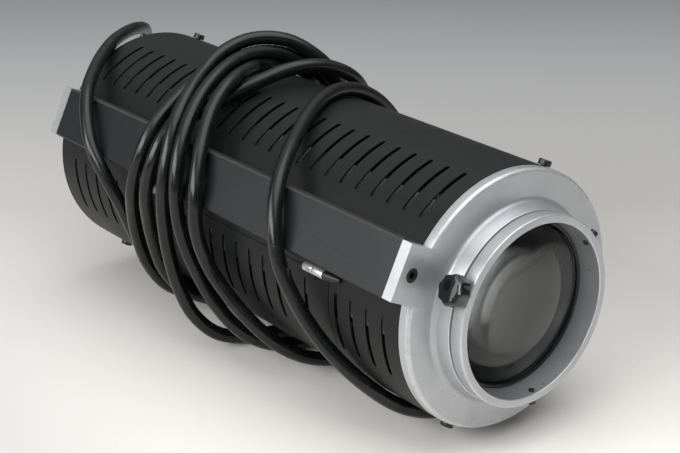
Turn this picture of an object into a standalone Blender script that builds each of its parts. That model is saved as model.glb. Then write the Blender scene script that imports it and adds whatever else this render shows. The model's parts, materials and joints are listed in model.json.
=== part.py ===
# Studio flash head: a perforated drum with a cast ring at each end, a mounting rail between them,
# a lens barrel that slides to focus, and its supply cable wound round the drum.
#
# Metres, +Z up. The head's axis lies along X with the lens at +X, and the origin is the middle of the
# rail's flat outer face. Every piece of the head is modelled in the head's own frame: X is the distance
# forward of the front casting's rear face, -Y is the side of the rail, and angles go round the axis from
# the rail towards +Z. An empty then turns that frame about X, because the head lies on its wound cable
# with the rail looking a little upwards.

import math

import bmesh
import bpy
from mathutils import Matrix, Vector

MM = 0.001

# Clearances
TOUCH = 0.3 * MM
SLIDE_FIT = 0.3 * MM
SEAM = 0.5 * MM

# Drills and joined stems are turned by this angle so that their corners miss the facets' edges
DRILL_TURN = 8.0

# Attitude at rest
REST_ROLL = 26.0

# Drum
SHELL_RADIUS = 85.0 * MM
SHELL_WALL = 1.5 * MM
SHELL_OVERHANG = 1.6 * MM
FACETS = 36
INNER_FACETS = 24

# Cooling slots
SLOT_WIDTH = 2.8 * MM
SLOT_PITCH = 15.0 * MM
SLOT_FIRST = 13.7 * MM
SLOT_COUNT = 25
SLOT_ROW_START = 21.8
SLOT_ROW_END = 50.3
SLOT_LEFT_OUT = (4, 16)

# Front casting
DISC_THICKNESS = 8.0 * MM
DISC_EDGE_RADIUS = 2.8 * MM
SPIGOT_DEPTH = 12.0 * MM
SPIGOT_WALL = 5.0 * MM
COLLAR_LENGTH = 11.6 * MM
COLLAR_STEP = 0.3 * MM
COLLAR_TAPER = 2.2 * MM
COLLAR_FILLET = 4.0 * MM

# Lens barrel
SLEEVE_STEP = 3.1 * MM
SLEEVE_WALL = 2.7 * MM
SLEEVE_DEPTH = 38.0 * MM
RING_RADIUS = 62.3 * MM
RING_LENGTH = 9.1 * MM
RING_WALL = 5.3 * MM
RING_CHAMFER = 0.8 * MM
GROOVE = 1.0 * MM
FUNNEL_TAPER = 2.0 * MM
FUNNEL_DEPTH = 18.0 * MM

# Front lens and its retaining ring
LENS_STEP = 1.0 * MM
LENS_CURVE_RADIUS = 102.0 * MM
LENS_EDGE = 2.8 * MM
LENS_LIP = 3.0 * MM
LENS_SEAT = 3.0 * MM
RETAINER_LIP = 1.8 * MM
RETAINER_THICKNESS = 1.5 * MM

# Clamp knob and the two plain screws of the lens ring
KNOB_RADIUS = 9.4 * MM
KNOB_LOBE_DEPTH = 0.9 * MM
KNOB_LOBES = 8
KNOB_HEIGHT = 8.6 * MM
KNOB_NECK_RADIUS = 4.6 * MM
KNOB_NECK_HEIGHT = 2.6 * MM
KNOB_LIFT = 1.6 * MM
STUD_RADIUS = 2.4 * MM
STUD_TIP_IN_BORE = 1.5 * MM
STUD_IN_KNOB = 8.0 * MM
RING_SCREW_ANGLES = (118.5, -120.0)
RING_SCREW_RADIUS = 1.9 * MM
RING_SCREW_HEAD_RADIUS = 2.8 * MM
RING_SCREW_HEAD_HEIGHT = 3.0 * MM

# Lugs and rail
LUG_WIDTH = 36.0 * MM
LUG_STEP = 0.5 * MM
LUG_EDGE = 0.8 * MM
RAIL_HEIGHT = 15.0 * MM
RAIL_WIDTH = 37.0 * MM
RAIL_WALL = 2.5 * MM
RAIL_CHAMFER = 1.2 * MM
RAIL_BOSS_SIZE = 12.0 * MM
RAIL_BOSS_LENGTH = 14.0 * MM
RAIL_LENGTH = 377.5 * MM
RAIL_SCREW_HEIGHT = 6.2 * MM
RAIL_SCREW_RADIUS = 2.4 * MM
RAIL_SCREW_HEAD_RADIUS = 4.25 * MM
RAIL_SCREW_HEAD_HEIGHT = 5.0 * MM
RAIL_SCREW_LENGTH = 14.0 * MM
COUNTERBORE_DEPTH = 5.4 * MM

# Casing screws
CASING_SCREW_ANGLES = (90.0, 180.0, -90.0)
CASING_SCREW_FRONT = 4.9 * MM
CASING_SCREW_REAR = 1.6 * MM
CASING_SCREW_RADIUS = 1.9 * MM
CASING_SCREW_HEAD_RADIUS = 4.2 * MM
CASING_SCREW_HEAD_HEIGHT = 3.8 * MM
CASING_SCREW_LENGTH = 5.6 * MM

# Rear casting
REAR_RIM_DEPTH = 7.0 * MM
REAR_BOSS_RADIUS = 17.0 * MM
REAR_BOSS_HEIGHT = 3.0 * MM

# Access door in the lower side of the drum
DOOR_FRONT = 66.3 * MM
DOOR_LENGTH = 195.4 * MM
DOOR_TOP_ANGLE = -17.0
DOOR_LOW_ANGLE = -118.0
CATCH_ANGLE = 6.0
CATCH_WIDTH = 20.0 * MM
CATCH_THICKNESS = 1.2 * MM

# Hinges of the door
HINGE_ANGLE = -15.7
HINGE_RADIUS = 3.0 * MM
HINGE_PIN_RADIUS = 1.3 * MM
HINGE_KNUCKLE = 9.6 * MM
HINGE_LUG_LENGTH = 12.0 * MM
HINGE_INSET = 0.7 * MM
HINGE_LEAF_THICKNESS = 1.0 * MM
HINGE_LEAF_REACH = 7.0 * MM

# Tray inside the drum
TRAY_LEVEL = 60.0 * MM
TRAY_WIDTH = 88.0 * MM
TRAY_THICKNESS = 1.5 * MM
TRAY_FLANGE = 8.0 * MM

# Optics and light sources inside the drum
CONDENSER_FRONT = 58.0 * MM
CONDENSER_RADIUS = 46.0 * MM
CONDENSER_CURVE_RADIUS = 92.0 * MM
CONDENSER_EDGE = 3.0 * MM
HOLDER_LENGTH = 8.0 * MM
HOLDER_WALL = 5.0 * MM
HOLDER_LIP = 1.5 * MM
HOLDER_FOOT_WIDTH = 30.0 * MM
REFLECTOR_BACK = 151.2 * MM
REFLECTOR_DEPTH = 50.0 * MM
REFLECTOR_MOUTH_RADIUS = 55.0 * MM
REFLECTOR_NECK_RADIUS = 29.5 * MM
REFLECTOR_WALL = 1.2 * MM
REFLECTOR_FLANGE = 6.0 * MM
SOCKET_FLANGE_RADIUS = 38.0 * MM
SOCKET_FLANGE_THICKNESS = 5.0 * MM
SOCKET_BODY_RADIUS = 17.0 * MM
SOCKET_BODY_LENGTH = 34.0 * MM
BRACKET_THICKNESS = 2.0 * MM
BRACKET_CROWN = 8.0 * MM
BRACKET_WIDTH = 56.0 * MM
BRACKET_FOOT = 20.0 * MM
LAMP_BASE_RADIUS = 8.0 * MM
LAMP_BASE_LENGTH = 11.0 * MM
LAMP_BULB_RADIUS = 9.5 * MM
LAMP_BULB_LENGTH = 26.0 * MM
TUBE_RING_RADIUS = 24.0 * MM
TUBE_RADIUS = 3.6 * MM
TUBE_STANDOFF = 28.0 * MM
TUBE_OPENING = 30.0

# Electrical parts on the tray
COIL_PLACE = 232.0 * MM
COIL_SIZE = (36.0 * MM, 20.0 * MM, 26.0 * MM)
TERMINAL_PLACE = 290.0 * MM
TERMINAL_SIZE = (18.0 * MM, 15.0 * MM, 52.0 * MM)
TERMINAL_WAYS = 4
TERMINAL_HOLE_RADIUS = 2.6 * MM

# Cable and its gland
CABLE_RADIUS = 5.0 * MM
CABLE_BORE = 5.4 * MM
INNER_SPACING = 11.0 * MM
LEAD_SPACING = 20.0 * MM
FRONT_SPACING = 22.0 * MM
GLAND_RADIUS = 8.0 * MM
GLAND_HEX_RADIUS = 12.5 * MM
GLAND_HEX_HEIGHT = 6.0 * MM
GLAND_OUTER_LENGTH = 9.0 * MM
GLAND_INNER_LENGTH = 8.0 * MM
GLAND_NUT_HEIGHT = 5.0 * MM
RELIEF_LENGTH = 35.0 * MM
RELIEF_BASE_RADIUS = 8.6 * MM
RELIEF_TIP_RADIUS = 6.4 * MM

# Winding of the cable round the drum
WINDING_FRONT = 151.0 * MM
WINDING_LENGTH = 148.0 * MM
FLOOR_GAP = 0.4 * MM
WINDING_SLACK = (
    (-180, 3), (-140, 2), (-110, 6), (-75, 14), (-50, 20), (-20, 8), (0, 1), (26, 1), (50, 1), (70, 7),
    (90, 15), (115, 17), (140, 12), (160, 6), (180, 3),
)

# Plug on the cable's end
PLUG_RADIUS = 15.0 * MM
PLUG_LENGTH = 52.0 * MM
PLUG_WALL = 2.0 * MM
PLUG_NUT_RADIUS = 17.0 * MM
PLUG_NUT_LENGTH = 16.0 * MM
PLUG_TAIL_RADIUS = 8.5 * MM
PLUG_TAIL_LENGTH = 16.0 * MM
PLUG_INSERT_LENGTH = 14.0 * MM
PLUG_PIN_RADIUS = 1.5 * MM
PLUG_PIN_LENGTH = 10.0 * MM
PLUG_PIN_CIRCLE = 7.5 * MM
PLUG_PINS = 5

# The cable's route by hand, in millimetres from the head's axis: distance forward of the front
# casting's rear face, distance to the far side, and height. Inside the head it runs from the terminal
# block to the gland. Outside it loops over the drum's rear edge and down to the winding. It leaves
# the winding low on the near side, goes under the drum and round it once more near the front,
# passes under it again and ends in the plug that lies behind it.
INNER_ROUTE = (
    (-299.6, -46.6, 22.7), (-311, -46.6, 22.7), (-324, -37, 18), (-342, -11, 5.4), (-356, -0.8, 0.4),
    (-367, 0, 0),
)
LEAD_ROUTE = (
    (-436, 0, 0), (-441, 1.1, 0.6), (-448.4, 5.2, 3.4), (-465.3, 18.6, 15.8), (-471.2, 31.8, 35.8),
    (-462.2, 35.5, 58.2), (-445.3, 25.7, 73.3), (-428.8, 8.5, 80.8), (-414, -11.5, 83.6),
    (-399.7, -32.4, 83.8), (-384.7, -51.7, 78.8), (-368.1, -69.2, 72.1), (-350.2, -86, 65.1),
    (-333.7, -96.8, 49.3), (-316.1, -103.7, 33), (-309.8, -103.5, 22.4), (-303.6, -99.9, 13.6),
)
FRONT_ROUTE = (
    (-146, -67.8, -65.8), (-138.5, -44.9, -82.5), (-134.4, -21.3, -89.6), (-132.5, 3.7, -90.2),
    (-131.5, 28.5, -87.3), (-131, 50.7, -75.8), (-130.5, 69.4, -59.6), (-130, 83.1, -39.1),
    (-129.2, 90.5, -15.5), (-128.2, 90.9, 9.3), (-127, 84.9, 33.4), (-126, 72.6, 55.4),
    (-125.5, 54.8, 73.3), (-127, 33, 84.9), (-131.5, 11.8, 91.8), (-139.3, -6, 99.6),
    (-145.6, -27.1, 93), (-140.2, -48.9, 82.2), (-128, -69.2, 74.4), (-113.9, -88.3, 63.5),
    (-102.5, -100.6, 45), (-92.8, -104.3, 21), (-85.5, -97.6, -1.9), (-74.3, -91.1, -23.3),
    (-59.6, -82.4, -41.6), (-46.5, -69.8, -58.7), (-39.3, -52.2, -75), (-37.4, -30, -86.8),
    (-36.2, -5, -90.1), (-35.6, 20.2, -90.4), (-37.7, 45.1, -90.3), (-44.6, 69.1, -90.4),
    (-57.6, 90.4, -90.4), (-76, 107.3, -90), (-98, 119, -88.6), (-121.8, 126.2, -86.1),
    (-146.3, 130.2, -82.5), (-171, 131.9, -78.9), (-196, 132, -78.2),
)


def srgb(red, green, blue):
    """A colour given in display values from 0 to 255, as linear values."""
    def linear(value):
        share = value / 255.0
        return share / 12.92 if share <= 0.04045 else ((share + 0.055) / 1.055) ** 2.4
    return (linear(red), linear(green), linear(blue), 1.0)


FINISHES = {
    "cast_silver": (srgb(176, 178, 182), 0.42, 0.55),
    "black_paint": (srgb(46, 49, 51), 0.5, 0.1),
    "rail_black": (srgb(52, 55, 58), 0.48, 0.1),
    "black_steel": (srgb(24, 25, 27), 0.4, 0.6),
    "bright_steel": (srgb(212, 212, 210), 0.22, 0.95),
    "dark_steel": (srgb(92, 94, 96), 0.4, 0.85),
    "knob_plastic": (srgb(14, 16, 18), 0.16, 0.0),
    "lens_glass": (srgb(196, 204, 200), 0.04, 0.0),
    "lamp_glass": (srgb(222, 216, 196), 0.08, 0.0),
    "mirror_metal": (srgb(196, 196, 198), 0.12, 1.0),
    "tray_metal": (srgb(150, 152, 152), 0.45, 0.9),
    "ceramic": (srgb(214, 204, 184), 0.6, 0.0),
    "potting": (srgb(36, 34, 40), 0.5, 0.0),
    "cable_rubber": (srgb(26, 27, 28), 0.34, 0.0),
    "plug_plastic": (srgb(20, 21, 22), 0.42, 0.0),
}


def material(finish):
    """The Principled material of one finish, made once."""
    found = bpy.data.materials.get(finish)
    if found:
        return found
    colour, roughness, metallic = FINISHES[finish]
    made = bpy.data.materials.new(finish)
    made.use_nodes = True
    shader = made.node_tree.nodes["Principled BSDF"]
    shader.inputs["Base Color"].default_value = colour
    shader.inputs["Roughness"].default_value = roughness
    shader.inputs["Metallic"].default_value = metallic
    if finish.endswith("_glass"):
        shader.inputs["Transmission Weight"].default_value = 0.9
    made.diffuse_color = colour
    return made


def clear_scene():
    """Remove whatever the scene holds."""
    for item in list(bpy.data.objects):
        bpy.data.objects.remove(item, do_unlink=True)


def add_empty(name, location, parent=None):
    """An empty that carries pieces."""
    empty = bpy.data.objects.new(name, None)
    empty.empty_display_size = 0.03
    bpy.context.scene.collection.objects.link(empty)
    empty.parent = parent
    empty.location = location
    return empty


def finish_mesh(bm, name, finish, parent, sharp_angle=35.0):
    """Turn a bmesh into a named object with its material, shaded smooth between its sharp edges."""
    bmesh.ops.remove_doubles(bm, verts=bm.verts, dist=1e-7)
    bmesh.ops.recalc_face_normals(bm, faces=bm.faces)
    mesh = bpy.data.meshes.new(name)
    bm.to_mesh(mesh)
    bm.free()
    mesh.shade_smooth()
    mesh.set_sharp_from_angle(angle=math.radians(sharp_angle))
    mesh.materials.append(material(finish))
    piece = bpy.data.objects.new(name, mesh)
    bpy.context.scene.collection.objects.link(piece)
    piece.parent = parent
    return piece


def turned(name, profile, finish, parent, facets=24, turn=0.0):
    """A turned piece: a closed outline of (distance along X, radius) spun round X.

    The turn, in degrees, moves the facets' first corner round from the rail's side."""
    bm = bmesh.new()
    start = outward(turn)
    corners = [bm.verts.new((along, radius * start.y, radius * start.z)) for along, radius in profile]
    edges = [bm.edges.new((corners[i], corners[(i + 1) % len(corners)])) for i in range(len(corners))]
    bmesh.ops.spin(bm, geom=corners + edges, cent=(0, 0, 0), axis=(1, 0, 0), angle=math.tau,
                   steps=facets, use_merge=True)
    bmesh.ops.remove_doubles(bm, verts=bm.verts, dist=1e-6)
    bmesh.ops.delete(bm, geom=[edge for edge in bm.edges if not edge.link_faces], context="EDGES")
    return finish_mesh(bm, name, finish, parent)


def extruded(name, outline, start, end, finish, parent, bevel=0.0):
    """A straight piece: an outline of (Y, Z) points drawn out along X, its edges bevelled if asked."""
    bm = bmesh.new()
    face = bm.faces.new([bm.verts.new((start, across, up)) for across, up in outline])
    drawn = bmesh.ops.extrude_face_region(bm, geom=[face])["geom"]
    moved = [item for item in drawn if isinstance(item, bmesh.types.BMVert)]
    bmesh.ops.translate(bm, verts=moved, vec=(end - start, 0, 0))
    if bevel:
        bmesh.ops.bevel(bm, geom=list(bm.edges), offset=bevel, segments=1, affect="EDGES")
    return finish_mesh(bm, name, finish, parent)


def box(name, low, high, finish, parent, bevel=0.0):
    """A block between two corners."""
    outline = ((low[1], low[2]), (high[1], low[2]), (high[1], high[2]), (low[1], high[2]))
    return extruded(name, outline, low[0], high[0], finish, parent, bevel)


def combine(target, tool, operation):
    """Cut or join a piece with a tool by an exact Boolean, and drop the tool."""
    bpy.context.view_layer.update()
    modifier = target.modifiers.new("boolean", "BOOLEAN")
    modifier.operation = operation
    modifier.solver = "EXACT"
    modifier.object = tool
    evaluated = target.evaluated_get(bpy.context.evaluated_depsgraph_get())
    mesh = bpy.data.meshes.new_from_object(evaluated)
    target.modifiers.remove(modifier)
    old = target.data
    target.data = mesh
    mesh.name = target.name
    bpy.data.meshes.remove(old)
    bpy.data.objects.remove(tool, do_unlink=True)
    mesh.shade_smooth()
    mesh.set_sharp_from_angle(angle=math.radians(35.0))
    while len(mesh.materials) > 1:
        mesh.materials.pop()
    return target


def cut(target, tool):
    return combine(target, tool, "DIFFERENCE")


def join(target, tool):
    return combine(target, tool, "UNION")


def arc(centre, radius, start, end, steps):
    """Points on an arc of the (X, radius) plane, angles in degrees from +X towards larger radius."""
    angles = [math.radians(start + (end - start) * i / steps) for i in range(steps + 1)]
    return [(centre[0] + radius * math.cos(a), centre[1] + radius * math.sin(a)) for a in angles]


def outward(angle):
    """The direction from the head's axis at an angle from the rail."""
    turn = math.radians(angle)
    return Vector((0.0, -math.cos(turn), math.sin(turn)))


def set_radially(piece, along, angle, distance=0.0):
    """Place a piece so that its own X axis points out of the drum."""
    out = outward(angle)
    side = Vector((1, 0, 0)).cross(out)
    piece.matrix_local = Matrix.Translation(Vector((along, 0, 0)) + out * distance) @ Matrix(
        (out, Vector((-1, 0, 0)), -side)).transposed().to_4x4()
    return piece


def radial_hole(target, along, angle, radius, low, high, facets=12):
    """Drill a hole towards the head's axis between two distances from it."""
    drill = turned("drill", ((low, 0), (low, radius), (high, radius), (high, 0)), "dark_steel",
                   target.parent, facets, DRILL_TURN)
    set_radially(drill, along, angle)
    return cut(target, drill)


def axial_hole(target, centre, radius, start, end, facets=16):
    """Drill a hole along X, round a centre given by (Y, Z)."""
    drill = turned("drill", ((start, 0), (start, radius), (end, radius), (end, 0)), "dark_steel",
                   target.parent, facets, DRILL_TURN)
    drill.location = (0, centre[0], centre[1])
    return cut(target, drill)


def counterbore(casting, inner_face, outer_face):
    """Drill a lug for its rail screw: a hole right through, widened for the head at the outer face."""
    way = math.copysign(1.0, outer_face - inner_face)
    seat = outer_face - way * COUNTERBORE_DEPTH
    past = 1.0 * MM * way
    narrow = RAIL_SCREW_RADIUS + TOUCH
    wide = RAIL_SCREW_HEAD_RADIUS + TOUCH
    drill = turned("drill", ((inner_face - past, 0), (inner_face - past, narrow), (seat, narrow), (seat, wide),
                             (outer_face + past, wide), (outer_face + past, 0)), "dark_steel",
                   casting.parent, 16, DRILL_TURN)
    drill.location = (0, -RAIL_SCREW_DISTANCE, 0)
    return cut(casting, drill)


def sector(name, low_angle, high_angle, low_radius, high_radius, start, end, parent, steps=1):
    """A block bounded by two angles, two radii and two distances along the axis."""
    angles = [low_angle + (high_angle - low_angle) * i / steps for i in range(steps + 1)]
    rim = [outward(a) * high_radius for a in angles] + [outward(a) * low_radius for a in reversed(angles)]
    return extruded(name, [(p.y, p.z) for p in rim], start, end, "dark_steel", parent)


# Distances from the axis, and places along it, that several pieces share
RAIL_FACE = SHELL_RADIUS + RAIL_HEIGHT
LUG_REACH = RAIL_FACE + LUG_STEP
RAIL_SCREW_DISTANCE = SHELL_RADIUS + RAIL_SCREW_HEIGHT
FLOOR_DROP = SHELL_RADIUS + 2 * CABLE_RADIUS + FLOOR_GAP
SHELL_FRONT = -TOUCH
SHELL_BORE = SHELL_RADIUS - SHELL_WALL
SPIGOT_RADIUS = SHELL_BORE - TOUCH
COLLAR_END = DISC_THICKNESS + COLLAR_LENGTH
SLEEVE_RADIUS = RING_RADIUS - SLEEVE_STEP
BARREL_BORE = SLEEVE_RADIUS + SLIDE_FIT
COLLAR_TIP_RADIUS = RING_RADIUS + COLLAR_STEP
COLLAR_BASE_RADIUS = COLLAR_TIP_RADIUS + COLLAR_TAPER
RING_MOUTH_RADIUS = RING_RADIUS - RING_WALL
FUNNEL_FLOOR_RADIUS = RING_MOUTH_RADIUS - FUNNEL_TAPER
LENS_RADIUS = FUNNEL_FLOOR_RADIUS - LENS_STEP
LENS_CLEAR_RADIUS = LENS_RADIUS - LENS_SEAT
RETAINER_INNER_RADIUS = LENS_RADIUS - RETAINER_LIP
RING_BACK = COLLAR_END + GROOVE
RING_FRONT = RING_BACK + RING_LENGTH
RING_SCREW_PLACE = RING_BACK + 0.55 * RING_LENGTH
KNOB_PLACE = RING_BACK + 0.45 * RING_LENGTH
RAIL_FRONT = -TOUCH
RAIL_BACK = RAIL_FRONT - RAIL_LENGTH
RAIL_MIDDLE = (RAIL_FRONT + RAIL_BACK) / 2
REAR_FACE = RAIL_BACK - TOUCH
REAR_BACK = REAR_FACE - DISC_THICKNESS
REAR_RIM_END = REAR_BACK - REAR_RIM_DEPTH
SHELL_BACK = REAR_RIM_END - SHELL_OVERHANG
CASING_SCREW_FRONT_PLACE = SHELL_FRONT - CASING_SCREW_FRONT
CASING_SCREW_REAR_PLACE = REAR_BACK + CASING_SCREW_REAR
CASING_SCREW_TIP = SHELL_RADIUS + TOUCH - CASING_SCREW_LENGTH
DOOR_START = -DOOR_FRONT
DOOR_END = DOOR_START - DOOR_LENGTH
SOCKET_FRONT = -REFLECTOR_BACK - TOUCH
SOCKET_FLANGE_BACK = SOCKET_FRONT - SOCKET_FLANGE_THICKNESS
TRAY_SEAT = -TRAY_LEVEL + TOUCH


def lug(name, start, end, parent):
    """The square ear of a casting that holds one end of the rail."""
    half = LUG_WIDTH / 2
    root = SPIGOT_RADIUS - 3.0 * MM
    return box(name, (start, -LUG_REACH, -half), (end, -root, half), "cast_silver", parent, LUG_EDGE)


def make_front_casting(head):
    edge = DISC_EDGE_RADIUS
    fillet = COLLAR_FILLET
    profile = [(0, BARREL_BORE), (0, SPIGOT_RADIUS - SPIGOT_WALL), (-SPIGOT_DEPTH, SPIGOT_RADIUS - SPIGOT_WALL),
               (-SPIGOT_DEPTH, SPIGOT_RADIUS), (0, SPIGOT_RADIUS), (0, SHELL_RADIUS)]
    profile += arc((DISC_THICKNESS - edge, SHELL_RADIUS - edge), edge, 90, 0, 2)
    profile += arc((DISC_THICKNESS + fillet, COLLAR_BASE_RADIUS + fillet), fillet, 180, 270, 2)
    profile += [(COLLAR_END - 0.4 * MM, COLLAR_TIP_RADIUS), (COLLAR_END, COLLAR_TIP_RADIUS - 0.4 * MM),
                (COLLAR_END, BARREL_BORE)]
    casting = turned("front_casting", profile, "cast_silver", head, FACETS)
    join(casting, lug("ear", 0, DISC_THICKNESS, head))
    counterbore(casting, 0, DISC_THICKNESS)
    for angle in CASING_SCREW_ANGLES:
        radial_hole(casting, CASING_SCREW_FRONT_PLACE, angle, CASING_SCREW_RADIUS + TOUCH,
                    CASING_SCREW_TIP - TOUCH, SPIGOT_RADIUS + 1.0 * MM, 8)
    return casting


def make_rear_casting(head):
    inner = SPIGOT_RADIUS - SPIGOT_WALL
    profile = [(REAR_FACE, GLAND_RADIUS + TOUCH), (REAR_FACE, SPIGOT_RADIUS), (REAR_RIM_END, SPIGOT_RADIUS),
               (REAR_RIM_END, inner), (REAR_BACK, inner), (REAR_BACK, REAR_BOSS_RADIUS),
               (REAR_BACK - REAR_BOSS_HEIGHT, REAR_BOSS_RADIUS - 1.0 * MM),
               (REAR_BACK - REAR_BOSS_HEIGHT, GLAND_RADIUS + TOUCH)]
    casting = turned("rear_casting", profile, "cast_silver", head, FACETS)
    join(casting, lug("ear", REAR_BACK, REAR_FACE, head))
    counterbore(casting, REAR_FACE, REAR_BACK)
    for angle in CASING_SCREW_ANGLES:
        radial_hole(casting, CASING_SCREW_REAR_PLACE, angle, CASING_SCREW_RADIUS + TOUCH,
                    CASING_SCREW_TIP - TOUCH, SPIGOT_RADIUS + 1.0 * MM, 8)
    return casting


def slot_cutters(name, parent):
    """All cooling slots as one cutting tool: slabs with narrowed ends that point at the head's axis."""
    rows = ((SLOT_ROW_START, SLOT_ROW_END, ()), (-SLOT_ROW_END, -SLOT_ROW_START, SLOT_LEFT_OUT))
    half = SLOT_WIDTH / 2
    ends = math.degrees(half / SHELL_RADIUS)
    inside = SHELL_BORE * 0.93
    outside = SHELL_RADIUS * 1.08
    bm = bmesh.new()
    for low, high, left_out in rows:
        for number in range(SLOT_COUNT):
            if number in left_out:
                continue
            along = SHELL_FRONT - SLOT_FIRST - number * SLOT_PITCH
            rim = ((low, 0), (low + ends, half), (high - ends, half), (high, 0), (high - ends, -half),
                   (low + ends, -half))
            loops = []
            for distance in (inside, outside):
                loops.append([bm.verts.new(outward(angle) * distance + Vector((along + shift, 0, 0)))
                              for angle, shift in rim])
            count = len(rim)
            bm.faces.new(loops[0])
            bm.faces.new(loops[1])
            for i in range(count):
                j = (i + 1) % count
                bm.faces.new((loops[0][i], loops[0][j], loops[1][j], loops[1][i]))
    return finish_mesh(bm, name, "dark_steel", parent)


def make_perforated_drum(name, head):
    """The rolled and slotted sheet, still whole, from which the shell and its door are cut."""
    profile = ((SHELL_BACK, SHELL_BORE), (SHELL_BACK, SHELL_RADIUS), (SHELL_FRONT, SHELL_RADIUS),
               (SHELL_FRONT, SHELL_BORE))
    drum = turned(name, profile, "black_paint", head, FACETS)
    return cut(drum, slot_cutters("slots", head))


def make_shell_and_door(head):
    shell = make_perforated_drum("housing_shell", head)
    door = bpy.data.objects.new("access_door", shell.data.copy())
    bpy.context.scene.collection.objects.link(door)
    door.parent = head

    inside = SHELL_BORE * 0.9
    outside = SHELL_RADIUS * 1.12
    seam_angle = math.degrees(SEAM / SHELL_RADIUS)
    steps = 6
    leaf = sector("leaf", DOOR_LOW_ANGLE, DOOR_TOP_ANGLE, inside, outside, DOOR_END, DOOR_START, head, steps)
    combine(door, leaf, "INTERSECT")
    opening = sector("opening", DOOR_LOW_ANGLE - seam_angle, DOOR_TOP_ANGLE + seam_angle, inside, outside,
                     DOOR_END - SEAM, DOOR_START + SEAM, head, steps)
    cut(shell, opening)

    half = LUG_WIDTH / 2 + TOUCH
    notch = box("notch", (SHELL_BACK - 1.0 * MM, -outside, -half), (REAR_FACE + TOUCH, -inside, half),
                "dark_steel", head)
    cut(shell, notch)
    for along in (CASING_SCREW_FRONT_PLACE, CASING_SCREW_REAR_PLACE):
        for angle in CASING_SCREW_ANGLES:
            radial_hole(shell, along, angle, CASING_SCREW_RADIUS + TOUCH, SHELL_BORE - 2.0 * MM,
                        SHELL_RADIUS + 2.0 * MM, 8)
    return shell, door


def make_door_catch(head):
    """A spring strip inside the door's free edge, which snaps behind the fixed shell."""
    outer = SHELL_BORE * math.cos(math.pi / FACETS) - TOUCH
    inner = outer - CATCH_THICKNESS
    middle = (DOOR_START + DOOR_END) / 2
    catch = sector("door_catch", DOOR_LOW_ANGLE - CATCH_ANGLE, DOOR_LOW_ANGLE + CATCH_ANGLE, inner, outer,
                   middle - CATCH_WIDTH / 2, middle + CATCH_WIDTH / 2, head, 4)
    catch.data.materials[0] = material("bright_steel")
    return catch


def make_rail(head):
    """The folded channel between the two lugs, with a threaded block at each end."""
    half = RAIL_WIDTH / 2
    foot = math.sqrt(SHELL_RADIUS ** 2 - (half - RAIL_WALL) ** 2) + TOUCH
    bevel = RAIL_CHAMFER
    outline = ((-foot, half), (-RAIL_FACE + bevel, half), (-RAIL_FACE, half - bevel),
               (-RAIL_FACE, -half + bevel), (-RAIL_FACE + bevel, -half), (-foot, -half),
               (-foot, -half + RAIL_WALL), (-RAIL_FACE + RAIL_WALL, -half + RAIL_WALL),
               (-RAIL_FACE + RAIL_WALL, half - RAIL_WALL), (-foot, half - RAIL_WALL))
    rail = extruded("mounting_rail", outline, RAIL_BACK, RAIL_FRONT, "rail_black", head)
    block = RAIL_BOSS_SIZE / 2
    for start, end in ((RAIL_FRONT - RAIL_BOSS_LENGTH, RAIL_FRONT), (RAIL_BACK, RAIL_BACK + RAIL_BOSS_LENGTH)):
        join(rail, box("block", (start, -RAIL_FACE + RAIL_WALL / 2, -block),
                       (end, -RAIL_SCREW_DISTANCE + block / 2 + 1.0 * MM, block), "rail_black", head))
        axial_hole(rail, (-RAIL_SCREW_DISTANCE, 0), RAIL_SCREW_RADIUS + TOUCH, start - 1.0 * MM,
                   end + 1.0 * MM, 12)
    return rail


def socket_screw(name, radius, length, head_radius, head_height, parent, facets):
    """A screw along its own X axis: the shank runs to -X from the head's seat, the hexagon opens at +X."""
    profile = ((-length, 0), (-length, radius), (0, radius), (0, head_radius), (head_height, head_radius),
               (head_height, 0))
    screw = turned(name, profile, "black_steel", parent, facets)
    hexagon = turned("hexagon", ((0.45 * head_height, 0), (0.45 * head_height, 0.55 * head_radius),
                                 (head_height + 1.0 * MM, 0.55 * head_radius), (head_height + 1.0 * MM, 0)),
                     "black_steel", parent, 6, DRILL_TURN)
    return cut(screw, hexagon)


def make_rail_screws(head):
    lift = COUNTERBORE_DEPTH - TOUCH
    front = socket_screw("rail_screw_front", RAIL_SCREW_RADIUS, RAIL_SCREW_LENGTH, RAIL_SCREW_HEAD_RADIUS,
                         RAIL_SCREW_HEAD_HEIGHT, head, 14)
    front.location = (DISC_THICKNESS - lift, -RAIL_SCREW_DISTANCE, 0)
    rear = bpy.data.objects.new("rail_screw_rear", front.data)
    bpy.context.scene.collection.objects.link(rear)
    rear.parent = head
    rear.location = (REAR_BACK + lift, -RAIL_SCREW_DISTANCE, 0)
    rear.rotation_euler = (0, 0, math.pi)


def make_casing_screws(head):
    """The radial screws that hold the drum on the two castings."""
    places = (("front", CASING_SCREW_FRONT_PLACE), ("rear", CASING_SCREW_REAR_PLACE))
    first = None
    for end, along in places:
        for number, angle in enumerate(CASING_SCREW_ANGLES, 1):
            name = "casing_screw_%s_%d" % (end, number)
            if first is None:
                first = socket_screw(name, CASING_SCREW_RADIUS, CASING_SCREW_LENGTH, CASING_SCREW_HEAD_RADIUS,
                                     CASING_SCREW_HEAD_HEIGHT, head, 9)
                screw = first
            else:
                screw = bpy.data.objects.new(name, first.data)
                bpy.context.scene.collection.objects.link(screw)
                screw.parent = head
            set_radially(screw, along, angle, SHELL_RADIUS + TOUCH)


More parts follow.
